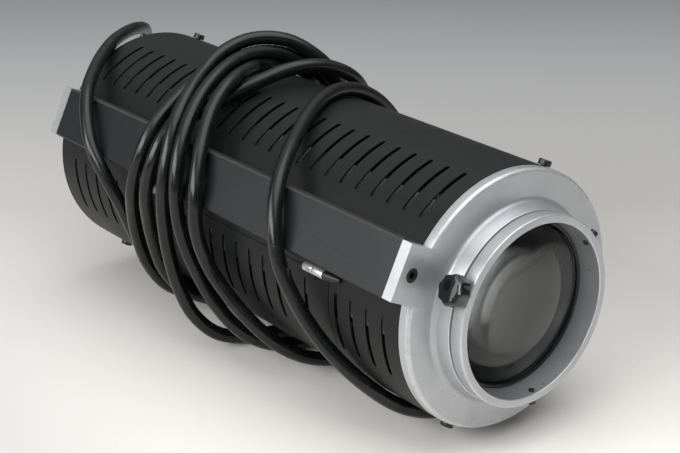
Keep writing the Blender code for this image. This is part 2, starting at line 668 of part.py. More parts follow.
def make_hinge(head, end, corner, direction):
    """One hinge of the door: a welded lug on the fixed shell, two knuckles and a pin.

    The corner is the door's end, and the direction points from it along the door."""
    centre = outward(HINGE_ANGLE) * (SHELL_RADIUS + HINGE_RADIUS + TOUCH)
    bore = HINGE_PIN_RADIUS + TOUCH
    plate = HINGE_LEAF_THICKNESS
    inset = 1.0 * MM
    first = corner + direction * HINGE_INSET
    split = first + direction * HINGE_KNUCKLE
    second = split + direction * TOUCH
    last = second + direction * HINGE_KNUCKLE
    base = first - direction * TOUCH
    pin_start = base - direction * HINGE_LUG_LENGTH * 0.35

    def along(name, start, stop, radius, inner, finish, facets, turn=0.0):
        low, high = min(start, stop), max(start, stop)
        piece = turned(name, ((low, inner), (low, radius), (high, radius), (high, inner)), finish, head, facets,
                       turn)
        piece.location = (0, centre.y, centre.z)
        return piece

    fixed = along("hinge_%s_fixed" % end, first, split, HINGE_RADIUS, bore, "bright_steel", 14)
    wall = -RAIL_WIDTH / 2 - TOUCH
    low, high = min(first, split) + inset, max(first, split) - inset
    web = box("web", (low, centre.y - plate / 2, centre.z + HINGE_RADIUS * 0.7),
              (high, centre.y + plate / 2, wall - plate / 2), "bright_steel", head)
    upright = box("upright", (low, centre.y - HINGE_LEAF_REACH, wall - plate), (high, centre.y + plate, wall),
                  "bright_steel", head)
    join(fixed, join(web, upright))

    moving = along("hinge_%s_moving" % end, second, last, HINGE_RADIUS, bore, "bright_steel", 14)
    reach = math.degrees(HINGE_LEAF_REACH / SHELL_RADIUS)
    seat = SHELL_RADIUS + TOUCH
    leaf = sector("leaf", HINGE_ANGLE - reach, HINGE_ANGLE - 0.6, seat, seat + plate,
                  min(second, last) + inset, max(second, last) - inset, head)
    join(moving, leaf)

    lug_piece = make_hinge_lug("hinge_%s_lug" % end, base, base - direction * HINGE_LUG_LENGTH, head)
    drill = along("drill", pin_start - direction * TOUCH, base + direction * inset, bore, 0, "dark_steel", 10,
                  DRILL_TURN)
    cut(lug_piece, drill)
    along("hinge_%s_pin" % end, pin_start, last, HINGE_PIN_RADIUS, 0, "dark_steel", 10)


def make_hinge_lug(name, base, tip, head):
    """The tapered black lug that carries the pin's end: round at the pin, it runs out on the shell."""
    seat = SHELL_RADIUS + TOUCH
    out = outward(HINGE_ANGLE)
    side = Vector((0, out.z, -out.y))
    steps = 6
    bm = bmesh.new()
    loops = []
    for along, radius, rise in ((base, HINGE_RADIUS, HINGE_RADIUS), (tip, HINGE_RADIUS * 0.5, 0.3 * MM)):
        loop = []
        for i in range(steps + 1):
            turn = math.pi * i / steps
            loop.append(out * (seat + rise + radius * math.sin(turn)) + side * radius * math.cos(turn))
        loop += [out * seat - side * radius, out * seat + side * radius]
        loops.append([bm.verts.new(point + Vector((along, 0, 0))) for point in loop])
    bm.faces.new(loops[0])
    bm.faces.new(loops[1])
    count = len(loops[0])
    for i in range(count):
        j = (i + 1) % count
        bm.faces.new((loops[0][i], loops[0][j], loops[1][j], loops[1][i]))
    return finish_mesh(bm, name, "black_steel", head)


def make_lens_barrel(barrel):
    """The sliding sleeve with the lens ring in front, turned in one piece."""
    inner = SLEEVE_RADIUS - SLEEVE_WALL
    pocket_top = RING_FRONT - FUNNEL_DEPTH
    lip_top = pocket_top - LENS_EDGE - TOUCH
    lip_back = lip_top - LENS_LIP
    lip = RING_CHAMFER
    profile = ((-SLEEVE_DEPTH, inner), (-SLEEVE_DEPTH, SLEEVE_RADIUS), (RING_BACK, SLEEVE_RADIUS),
               (RING_BACK, RING_RADIUS),
               (RING_FRONT - lip, RING_RADIUS), (RING_FRONT, RING_RADIUS - lip),
               (RING_FRONT, RING_MOUTH_RADIUS),
               (pocket_top, FUNNEL_FLOOR_RADIUS), (pocket_top, LENS_RADIUS + TOUCH),
               (lip_top, LENS_RADIUS + TOUCH), (lip_top, LENS_CLEAR_RADIUS), (lip_back, LENS_CLEAR_RADIUS),
               (lip_back - (inner - LENS_CLEAR_RADIUS), inner))
    piece = turned("lens_barrel", profile, "cast_silver", barrel, FACETS)
    radial_hole(piece, KNOB_PLACE, 0, STUD_RADIUS + TOUCH, RING_MOUTH_RADIUS - 3.0 * MM,
                RING_RADIUS + 2.0 * MM)
    for angle in RING_SCREW_ANGLES:
        radial_hole(piece, RING_SCREW_PLACE, angle, RING_SCREW_RADIUS + TOUCH, RING_MOUTH_RADIUS - 3.0 * MM,
                    RING_RADIUS + 2.0 * MM)
    return piece


def plano_convex(back, radius, curve_radius, edge, steps):
    """The outline of a lens with a flat back, its edge, and a round front."""
    sag = curve_radius - math.sqrt(curve_radius ** 2 - radius ** 2)
    apex = back + edge + sag
    opening = math.asin(radius / curve_radius)
    front = []
    for i in range(1, steps):
        turn = opening * (1 - i / steps)
        front.append((apex - curve_radius * (1 - math.cos(turn)), curve_radius * math.sin(turn)))
    return [(back, 0), (back, radius), (back + edge, radius)] + front + [(apex, 0)]


def make_front_lens(barrel):
    pocket_top = RING_FRONT - FUNNEL_DEPTH
    back = pocket_top - LENS_EDGE
    return turned("front_lens", plano_convex(back, LENS_RADIUS, LENS_CURVE_RADIUS, LENS_EDGE, 5), "lens_glass",
                  barrel, FACETS)


def make_retaining_ring(barrel):
    """The thin threaded ring that holds the lens down at its edge."""
    pocket_top = RING_FRONT - FUNNEL_DEPTH
    sag_outer = LENS_CURVE_RADIUS - math.sqrt(LENS_CURVE_RADIUS ** 2 - LENS_RADIUS ** 2)
    sag_inner = LENS_CURVE_RADIUS - math.sqrt(LENS_CURVE_RADIUS ** 2 - RETAINER_INNER_RADIUS ** 2)
    back = pocket_top + sag_outer - sag_inner + TOUCH
    front = back + RETAINER_THICKNESS
    slope = (RING_MOUTH_RADIUS - FUNNEL_FLOOR_RADIUS) / FUNNEL_DEPTH
    outer = FUNNEL_FLOOR_RADIUS + slope * (back - pocket_top) - TOUCH
    profile = ((back, RETAINER_INNER_RADIUS), (back, outer), (front, outer), (front, RETAINER_INNER_RADIUS))
    return turned("lens_retaining_ring", profile, "black_steel", barrel, FACETS)


def make_clamp_stud(travel):
    """The screw of the clamp knob, from its tip in the lens ring's bore to its end inside the knob."""
    tip = RING_MOUTH_RADIUS - STUD_TIP_IN_BORE
    top = RING_RADIUS + KNOB_LIFT + STUD_IN_KNOB
    point = 0.8 * MM
    profile = ((tip, 0), (tip, STUD_RADIUS - point), (tip + point, STUD_RADIUS), (top, STUD_RADIUS), (top, 0))
    return turned("clamp_stud", profile, "dark_steel", travel, 12)


def make_clamp_knob(travel):
    """The lobed black knob on the stud, domed at its top, hollow where the stud sits."""
    base = RING_RADIUS + KNOB_LIFT
    shoulder = base + KNOB_NECK_HEIGHT
    top = shoulder + KNOB_HEIGHT
    per_lobe = 3
    count = KNOB_LOBES * per_lobe
    levels = ((shoulder, 0.86, 1.0), (shoulder + 1.2 * MM, 1.0, 1.0), (top - 2.4 * MM, 1.0, 1.0),
              (top - 0.9 * MM, 0.86, 0.7), (top, 0.6, 0.2))
    bm = bmesh.new()
    rings = []
    for level, scale, lobing in levels:
        loop = []
        for i in range(count):
            turn = math.tau * i / count
            dip = KNOB_LOBE_DEPTH * lobing * (0.5 - 0.5 * math.cos(KNOB_LOBES * turn))
            reach = (KNOB_RADIUS - dip) * scale
            loop.append(bm.verts.new((level, reach * math.cos(turn), reach * math.sin(turn))))
        rings.append(loop)
    bm.faces.new(rings[0])
    bm.faces.new(rings[-1])
    for lower, upper in zip(rings, rings[1:]):
        for i in range(count):
            j = (i + 1) % count
            bm.faces.new((lower[i], lower[j], upper[j], upper[i]))
    knob = finish_mesh(bm, "clamp_knob", "knob_plastic", travel)
    neck = turned("neck", ((base, 0), (base, KNOB_NECK_RADIUS), (shoulder + 0.8 * MM, KNOB_NECK_RADIUS),
                           (shoulder + 0.8 * MM, 0)), "knob_plastic", travel, 16, DRILL_TURN)
    join(knob, neck)
    socket_top = base + STUD_IN_KNOB + TOUCH
    socket = turned("socket", ((base - 1.0 * MM, 0), (base - 1.0 * MM, STUD_RADIUS + TOUCH),
                               (socket_top, STUD_RADIUS + TOUCH), (socket_top, 0)), "knob_plastic", travel, 12, DRILL_TURN)
    return cut(knob, socket)


def make_ring_screws(barrel):
    for number, angle in enumerate(RING_SCREW_ANGLES, 1):
        shank = RING_RADIUS + TOUCH - RING_MOUTH_RADIUS + STUD_TIP_IN_BORE
        screw = socket_screw("ring_screw_%d" % number, RING_SCREW_RADIUS, shank, RING_SCREW_HEAD_RADIUS,
                             RING_SCREW_HEAD_HEIGHT, barrel, 10)
        set_radially(screw, RING_SCREW_PLACE, angle, RING_RADIUS + TOUCH)


def make_tray(head):
    """The folded tray that runs from casting to casting and carries what is inside."""
    half = TRAY_WIDTH / 2
    thick = TRAY_THICKNESS
    outline = ((-TRAY_LEVEL - thick, -half), (-TRAY_LEVEL - thick, half), (-TRAY_LEVEL + TRAY_FLANGE, half),
               (-TRAY_LEVEL + TRAY_FLANGE, half - thick), (-TRAY_LEVEL, half - thick),
               (-TRAY_LEVEL, -half + thick), (-TRAY_LEVEL + TRAY_FLANGE, -half + thick),
               (-TRAY_LEVEL + TRAY_FLANGE, -half))
    return extruded("chassis_tray", outline, REAR_FACE + TOUCH, -TOUCH, "tray_metal", head)


def make_condenser(head):
    """The inner lens and its holder, a ring with a foot on the tray."""
    front = -CONDENSER_FRONT
    back = front - HOLDER_LENGTH
    bore = CONDENSER_RADIUS + TOUCH
    outer = bore + HOLDER_WALL
    holder = turned("condenser_holder", ((back, bore - 3.0 * MM), (back, outer), (front, outer), (front, bore),
                                         (back + HOLDER_LIP, bore), (back + HOLDER_LIP, bore - 3.0 * MM)),
                    "tray_metal", head, INNER_FACETS)
    half = HOLDER_FOOT_WIDTH / 2
    join(holder, box("foot", (back + 1.0 * MM, TRAY_SEAT, -half), (front - 1.0 * MM, -outer + 2.0 * MM, half),
                     "tray_metal", head))
    lens_back = back + HOLDER_LIP + TOUCH
    turned("condenser_lens", plano_convex(lens_back, CONDENSER_RADIUS, CONDENSER_CURVE_RADIUS, CONDENSER_EDGE, 3),
           "lens_glass", head, INNER_FACETS)


def make_reflector(head):
    """A parabolic bowl with a flange round its neck."""
    back = -REFLECTOR_BACK
    steps = 4
    wall = REFLECTOR_WALL
    neck, mouth = REFLECTOR_NECK_RADIUS, REFLECTOR_MOUTH_RADIUS
    inner = []
    for i in range(steps + 1):
        share = i / steps
        inner.append((back + wall + (REFLECTOR_DEPTH - wall) * share,
                      math.sqrt(neck ** 2 + (mouth ** 2 - neck ** 2) * share)))
    outer = [(along, radius + wall) for along, radius in reversed(inner)]
    profile = [(back, neck)] + inner[1:] + outer[:-1]
    profile += [(back + wall, neck + REFLECTOR_FLANGE), (back, neck + REFLECTOR_FLANGE)]
    return turned("reflector", profile, "mirror_metal", head, INNER_FACETS)


def make_lamp_socket(head):
    body_back = SOCKET_FLANGE_BACK - SOCKET_BODY_LENGTH
    profile = ((body_back, 0), (body_back, SOCKET_BODY_RADIUS), (SOCKET_FLANGE_BACK, SOCKET_BODY_RADIUS),
               (SOCKET_FLANGE_BACK, SOCKET_FLANGE_RADIUS), (SOCKET_FRONT, SOCKET_FLANGE_RADIUS), (SOCKET_FRONT, 0))
    return turned("lamp_socket", profile, "ceramic", head, INNER_FACETS)


def make_socket_bracket(head):
    """The upright sheet behind the lamp socket, bent over to a foot on the tray."""
    front = SOCKET_FLANGE_BACK - TOUCH
    back = front - BRACKET_THICKNESS
    half = BRACKET_WIDTH / 2
    bracket = box("socket_bracket", (back, TRAY_SEAT, -half), (front, SOCKET_BODY_RADIUS + BRACKET_CROWN, half),
                  "tray_metal", head)
    join(bracket, box("foot", (back - BRACKET_FOOT, TRAY_SEAT, -half),
                      (front - 0.2 * MM, TRAY_SEAT + BRACKET_THICKNESS, half), "tray_metal", head))
    return axial_hole(bracket, (0, 0), SOCKET_BODY_RADIUS + TOUCH, back - 1.0 * MM, front + 1.0 * MM, 24)


def make_modelling_lamp(head):
    """A small capsule lamp on its base, in the middle of the flash tube's ring."""
    seat = SOCKET_FRONT + TOUCH
    base_top = seat + LAMP_BASE_LENGTH
    bulb_end = base_top + LAMP_BULB_LENGTH
    profile = [(seat, 0), (seat, LAMP_BASE_RADIUS), (base_top, LAMP_BASE_RADIUS),
               (base_top + 1.5 * MM, LAMP_BULB_RADIUS)]
    profile += arc((bulb_end - LAMP_BULB_RADIUS, 0), LAMP_BULB_RADIUS, 90, 0, 4)
    profile[-1] = (bulb_end, 0)
    return turned("modelling_lamp", profile, "lamp_glass", head, 16)


def tube_object(name, points, radius, finish, parent, resolution=2):
    """A round tube with closed ends along a line of points."""
    curve = bpy.data.curves.new(name, "CURVE")
    curve.dimensions = "3D"
    curve.bevel_depth = radius
    curve.bevel_resolution = resolution
    curve.use_fill_caps = True
    spline = curve.splines.new("POLY")
    spline.points.add(len(points) - 1)
    for target, point in zip(spline.points, points):
        target.co = (point[0], point[1], point[2], 1.0)
    spline.use_smooth = True
    curve.materials.append(material(finish))
    tube = bpy.data.objects.new(name, curve)
    bpy.context.scene.collection.objects.link(tube)
    tube.parent = parent
    return tube


def make_flash_tube(head):
    """An open glass ring round the lamp, whose two ends bend back to the socket."""
    seat = SOCKET_FRONT + TOUCH
    ring = SOCKET_FRONT + TUBE_STANDOFF
    bend = 6.0 * MM
    half_gap = TUBE_OPENING / 2
    bend_angle = math.degrees(bend / TUBE_RING_RADIUS)
    points = []
    first = half_gap
    last = 360 - half_gap
    start = outward(first) * TUBE_RING_RADIUS
    points.append(Vector((seat, 0, 0)) + start)
    for i in range(4):
        turn = math.radians(90 * i / 3)
        place = outward(first + bend_angle * (1 - math.cos(turn))) * TUBE_RING_RADIUS
        points.append(Vector((ring - bend + bend * math.sin(turn), 0, 0)) + place)
    steps = 14
    low = first + bend_angle
    high = last - bend_angle
    for i in range(1, steps):
        points.append(Vector((ring, 0, 0)) + outward(low + (high - low) * i / steps) * TUBE_RING_RADIUS)
    for i in reversed(range(4)):
        turn = math.radians(90 * i / 3)
        place = outward(last - bend_angle * (1 - math.cos(turn))) * TUBE_RING_RADIUS
        points.append(Vector((ring - bend + bend * math.sin(turn), 0, 0)) + place)
    points.append(Vector((seat, 0, 0)) + outward(last) * TUBE_RING_RADIUS)
    return tube_object("flash_tube", points, TUBE_RADIUS, "lamp_glass", head)


def make_electrics(head):
    """The ignition coil and the terminal block on the tray."""
    long, tall, wide = COIL_SIZE
    box("trigger_coil", (-COIL_PLACE - long / 2, TRAY_SEAT, -wide / 2),
        (-COIL_PLACE + long / 2, TRAY_SEAT + tall, wide / 2), "potting", head, 1.5 * MM)
    long, tall, wide = TERMINAL_SIZE
    block = box("terminal_block", (-TERMINAL_PLACE - long / 2, TRAY_SEAT, -wide / 2),
                (-TERMINAL_PLACE + long / 2, TRAY_SEAT + tall, wide / 2), "ceramic", head, 0.8 * MM)
    for way in range(TERMINAL_WAYS):
        across = wide * ((way + 0.5) / TERMINAL_WAYS - 0.5)
        axial_hole(block, (TRAY_SEAT + tall * 0.45, across), TERMINAL_HOLE_RADIUS,
                   -TERMINAL_PLACE - long / 2 - 1.0 * MM, -TERMINAL_PLACE + long / 2 + 1.0 * MM, 8)


def make_gland(head):
    """The screwed gland in the rear casting, its nut inside, and the rubber sleeve outside."""
    boss = REAR_BACK - REAR_BOSS_HEIGHT
    seat = boss - TOUCH
    outer_end = seat - GLAND_OUTER_LENGTH
    inner_end = REAR_FACE + GLAND_INNER_LENGTH
    gland = turned("cable_gland", ((inner_end, CABLE_BORE), (inner_end, GLAND_RADIUS), (outer_end, GLAND_RADIUS),
                                   (outer_end, CABLE_BORE)), "black_steel", head, 16)
    hexagon = turned("hexagon", ((seat, CABLE_BORE + 1.0 * MM), (seat, GLAND_HEX_RADIUS),
                                 (seat - GLAND_HEX_HEIGHT, GLAND_HEX_RADIUS),
                                 (seat - GLAND_HEX_HEIGHT, CABLE_BORE + 1.0 * MM)), "black_steel", head, 6,
                     DRILL_TURN)
    join(gland, hexagon)
    nut_seat = REAR_FACE + TOUCH
    turned("gland_nut", ((nut_seat, GLAND_RADIUS + TOUCH), (nut_seat, GLAND_HEX_RADIUS),
                         (nut_seat + GLAND_NUT_HEIGHT, GLAND_HEX_RADIUS),
                         (nut_seat + GLAND_NUT_HEIGHT, GLAND_RADIUS + TOUCH)), "dark_steel", head, 12)
    sleeve_start = outer_end - TOUCH
    sleeve_end = sleeve_start - RELIEF_LENGTH
    turned("strain_relief", ((sleeve_start, CABLE_BORE), (sleeve_start, RELIEF_BASE_RADIUS),
                             (sleeve_start - 4.0 * MM, RELIEF_BASE_RADIUS), (sleeve_end, RELIEF_TIP_RADIUS),
                             (sleeve_end, CABLE_BORE)), "cable_rubber", head, 16)


def through(route, spacing):
    """Points on a smooth curve through a route's points, closed up to an even spacing in metres."""
    knots = [Vector(point) * MM for point in route]
    padded = [knots[0] * 2 - knots[1]] + knots + [knots[-1] * 2 - knots[-2]]
    dense = []
    fine = 24
    for a, b, c, d in zip(padded, padded[1:], padded[2:], padded[3:]):
        for i in range(fine):
            t = i / fine
            dense.append(0.5 * ((2 * b) + (c - a) * t + (2 * a - 5 * b + 4 * c - d) * t ** 2
                                + (3 * b - a - 3 * c + d) * t ** 3))
    dense.append(knots[-1])
    lengths = [0.0]
    for a, b in zip(dense, dense[1:]):
        lengths.append(lengths[-1] + (b - a).length)
    count = max(2, round(lengths[-1] / spacing))
    points = []
    place = 0
    for i in range(count + 1):
        wanted = lengths[-1] * i / count
        while place < len(dense) - 2 and lengths[place + 1] < wanted:
            place += 1
        share = (wanted - lengths[place]) / (lengths[place + 1] - lengths[place])
        points.append(dense[place].lerp(dense[place + 1], share))
    return points


def rail_angles():
    """The angles of the rail's corner, and of the place where a line from that corner meets the drum."""
    corner = math.atan2(RAIL_WIDTH / 2, RAIL_FACE)
    distance = math.hypot(RAIL_WIDTH / 2, RAIL_FACE)
    return math.degrees(corner), math.degrees(corner + math.acos(SHELL_RADIUS / distance))


def body_reach(angle):
    """How far the drum and its rail hold a taut cable off the axis, at an angle from the rail."""
    corner, tangent = rail_angles()
    away = abs((angle + 180) % 360 - 180)
    if away <= corner:
        return RAIL_FACE / math.cos(math.radians(away))
    if away < tangent:
        return SHELL_RADIUS / math.cos(math.radians(tangent - away))
    return SHELL_RADIUS


def winding_slack(level):
    """How loosely the cable lies at a height angle round the drum, 0 at the near side and 90 on top."""
    for (low, slack_low), (high, slack_high) in zip(WINDING_SLACK, WINDING_SLACK[1:]):
        if low <= level <= high:
            return slack_low + (slack_high - slack_low) * (level - low) / (high - low)
    return WINDING_SLACK[0][1]


def make_winding(cable):
    """The wound cable's outer shape as one ring: close to the drum inside, flat where it lies."""
    back = -WINDING_FRONT - WINDING_LENGTH
    front = -WINDING_FRONT
    corner, tangent = rail_angles()
    straight = 3
    round_steps = 28
    angles = [0.0]
    angles += [corner + (tangent - corner) * i / straight for i in range(straight)]
    angles += [tangent + (360 - 2 * tangent) * i / round_steps for i in range(round_steps + 1)]
    angles += [360 - tangent + (tangent - corner) * i / straight for i in range(1, straight + 1)]
    inner = []
    outer = []
    for angle in angles:
        level = (angle + REST_ROLL + 180) % 360 - 180
        turn = math.radians(level)
        out = Vector((-math.cos(turn), math.sin(turn)))
        hug = body_reach(angle) + 2 * TOUCH
        far = out * (hug + 2 * CABLE_RADIUS + winding_slack(level) * MM)
        far.y = max(far.y, -FLOOR_DROP)
        inner.append(out * hug)
        outer.append(far)
    shoulder = CABLE_RADIUS
    sections = ((back, 0.0), (back, 0.5), (back + shoulder, 1.0), (front - shoulder, 1.0), (front, 0.5),
                (front, 0.0))
    bm = bmesh.new()
    loops = []
    for along, share in sections:
        points = [near.lerp(far, share) for near, far in zip(inner, outer)]
        loops.append([bm.verts.new((along, point.x, point.y)) for point in points])
    count = len(angles)
    for k in range(len(loops)):
        first, second = loops[k], loops[(k + 1) % len(loops)]
        for i in range(count):
            j = (i + 1) % count
            bm.faces.new((first[i], first[j], second[j], second[i]))
    return finish_mesh(bm, "cord_winding", "cable_rubber", cable, 30.0)


def make_plug(cable):
    """A round multi-pin plug lying on its side behind the head, in line with the cable's end."""
    end = Vector(FRONT_ROUTE[-1]) * MM
    before = Vector(FRONT_ROUTE[-2]) * MM
    heading = (end - before)
    heading.z = 0
    heading.normalize()
    carrier = add_empty("plug_axis", end, cable)
    carrier.rotation_euler = (0, 0, math.atan2(heading.y, heading.x))
    start = TOUCH
    tail = start + PLUG_TAIL_LENGTH
    front = tail + PLUG_LENGTH
    bore = PLUG_RADIUS - PLUG_WALL
    floor = front - PLUG_INSERT_LENGTH - PLUG_PIN_LENGTH * 0.6
    edge = 1.0 * MM
    body = [(start, 0), (start, PLUG_TAIL_RADIUS), (tail, PLUG_TAIL_RADIUS + 1.5 * MM),
            (tail + 4.0 * MM, PLUG_RADIUS - edge), (tail + 5.0 * MM, PLUG_RADIUS), (front, PLUG_RADIUS),
            (front, bore), (floor, bore), (floor, 0)]
    turned("plug_body", body, "plug_plastic", carrier, 16)
    nut_back = front - PLUG_NUT_LENGTH
    nut_bore = PLUG_RADIUS + TOUCH
    turned("plug_coupling_ring", ((nut_back, nut_bore), (nut_back, PLUG_NUT_RADIUS - edge),
                                  (nut_back + edge, PLUG_NUT_RADIUS), (front - edge, PLUG_NUT_RADIUS),
                                  (front, PLUG_NUT_RADIUS - edge), (front, nut_bore)), "dark_steel", carrier, 16)
    insert_back = floor + TOUCH
    insert_front = insert_back + PLUG_INSERT_LENGTH
    insert = turned("plug_insert", ((insert_back, 0), (insert_back, bore - TOUCH), (insert_front, bore - TOUCH),
                                    (insert_front, 0)), "potting", carrier, 16)
    for number in range(PLUG_PINS):
        turn = math.tau * number / PLUG_PINS
        pin_back = insert_front - 3.0 * MM
        pin_front = insert_front + PLUG_PIN_LENGTH * 0.5
        pin = turned("pin", ((pin_back, 0), (pin_back, PLUG_PIN_RADIUS), (pin_front, PLUG_PIN_RADIUS),
                             (pin_front + 0.8 * MM, 0)), "potting", carrier, 6, DRILL_TURN)
        pin.location = (0, PLUG_PIN_CIRCLE * math.cos(turn), PLUG_PIN_CIRCLE * math.sin(turn))
        join(insert, pin)


def build():
    clear_scene()
    roll = math.radians(REST_ROLL)
    axis_place = (-RAIL_MIDDLE, RAIL_FACE * math.cos(roll), -RAIL_FACE * math.sin(roll))
    axis = add_empty("head_axis", axis_place)
    head = add_empty("head", (0, 0, 0), axis)
    head.rotation_euler = (-roll, 0, 0)
    cable = add_empty("cable", (0, 0, 0), axis)
    barrel = add_empty("focus_slide", (0, 0, 0), head)
    travel = add_empty("clamp_axis", (0, 0, 0), barrel)
    set_radially(travel, KNOB_PLACE, 0)

    make_front_casting(head)
    make_rear_casting(head)
    make_shell_and_door(head)
    make_door_catch(head)
    make_rail(head)
    make_rail_screws(head)
    make_casing_screws(head)
    make_hinge(head, "front", DOOR_START, -1)
    make_hinge(head, "rear", DOOR_END, 1)

    make_lens_barrel(barrel)
    make_front_lens(barrel)
    make_retaining_ring(barrel)
    make_ring_screws(barrel)
    make_clamp_stud(travel)
    make_clamp_knob(travel)

    make_tray(head)
    make_condenser(head)
    make_reflector(head)
    make_lamp_socket(head)
    make_socket_bracket(head)
    make_modelling_lamp(head)
    make_flash_tube(head)
    make_electrics(head)
    make_gland(head)

    lead = through(INNER_ROUTE, INNER_SPACING) + through(LEAD_ROUTE, LEAD_SPACING)
    tube_object("cord_lead", lead, CABLE_RADIUS, "cable_rubber", cable)
    make_winding(cable)
    tube_object("cord_front_turn", through(FRONT_ROUTE, FRONT_SPACING), CABLE_RADIUS, "cable_rubber", cable)
    make_plug(cable)


build()
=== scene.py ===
import json
import math

import bmesh
import bpy
from mathutils import Matrix, Vector


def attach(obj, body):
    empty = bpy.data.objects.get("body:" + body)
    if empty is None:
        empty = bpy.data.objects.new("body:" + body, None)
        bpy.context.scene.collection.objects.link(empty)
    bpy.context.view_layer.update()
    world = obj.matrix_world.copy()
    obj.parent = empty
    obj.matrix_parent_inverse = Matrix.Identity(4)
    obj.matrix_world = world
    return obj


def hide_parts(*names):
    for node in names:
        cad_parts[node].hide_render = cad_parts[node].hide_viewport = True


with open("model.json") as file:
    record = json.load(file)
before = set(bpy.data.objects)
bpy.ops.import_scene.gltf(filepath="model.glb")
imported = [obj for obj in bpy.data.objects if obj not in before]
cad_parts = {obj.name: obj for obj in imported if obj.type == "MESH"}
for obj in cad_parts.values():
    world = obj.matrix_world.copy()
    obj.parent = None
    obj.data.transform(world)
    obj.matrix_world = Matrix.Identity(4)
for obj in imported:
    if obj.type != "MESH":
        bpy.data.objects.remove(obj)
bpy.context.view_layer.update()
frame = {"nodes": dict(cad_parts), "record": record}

# Lengths are in millimetres from the head's axis: distance forward of the front casting's rear face,
# then two distances across. The axis lies at AXIS in metres, and the head is rolled about it.
MM = 0.001
AXIS = Vector((0.18905, 0.0898794, -0.0438371))
ROLL = math.radians(26.0)
LEVEL = Matrix.Translation(AXIS) @ Matrix.Scale(MM, 4)
HEAD = Matrix.Translation(AXIS) @ Matrix.Rotation(-ROLL, 4, "X") @ Matrix.Scale(MM, 4)

DRUM_RADIUS = 85.0
SHEET = 1.1
DRUM_FRONT = -0.3
DRUM_BACK = -394.7
DISC_FRONT = 8.0
REAR_FACE = -378.1
REAR_BACK = -386.1
FLOOR = -95.4

# The camera's place from the axis and its own axes, fitted to the object's edges
CAMERA_LENS = 82.108
CAMERA_PLACE = Vector((617.2, -628.7, 404.1))
CAMERA_RIGHT = Vector((0.6292, 0.7773, 0.0))
CAMERA_DOWN = Vector((0.2935, -0.2376, -0.9259))
CAMERA_BACK = Vector((0.7197, -0.5826, 0.3777))

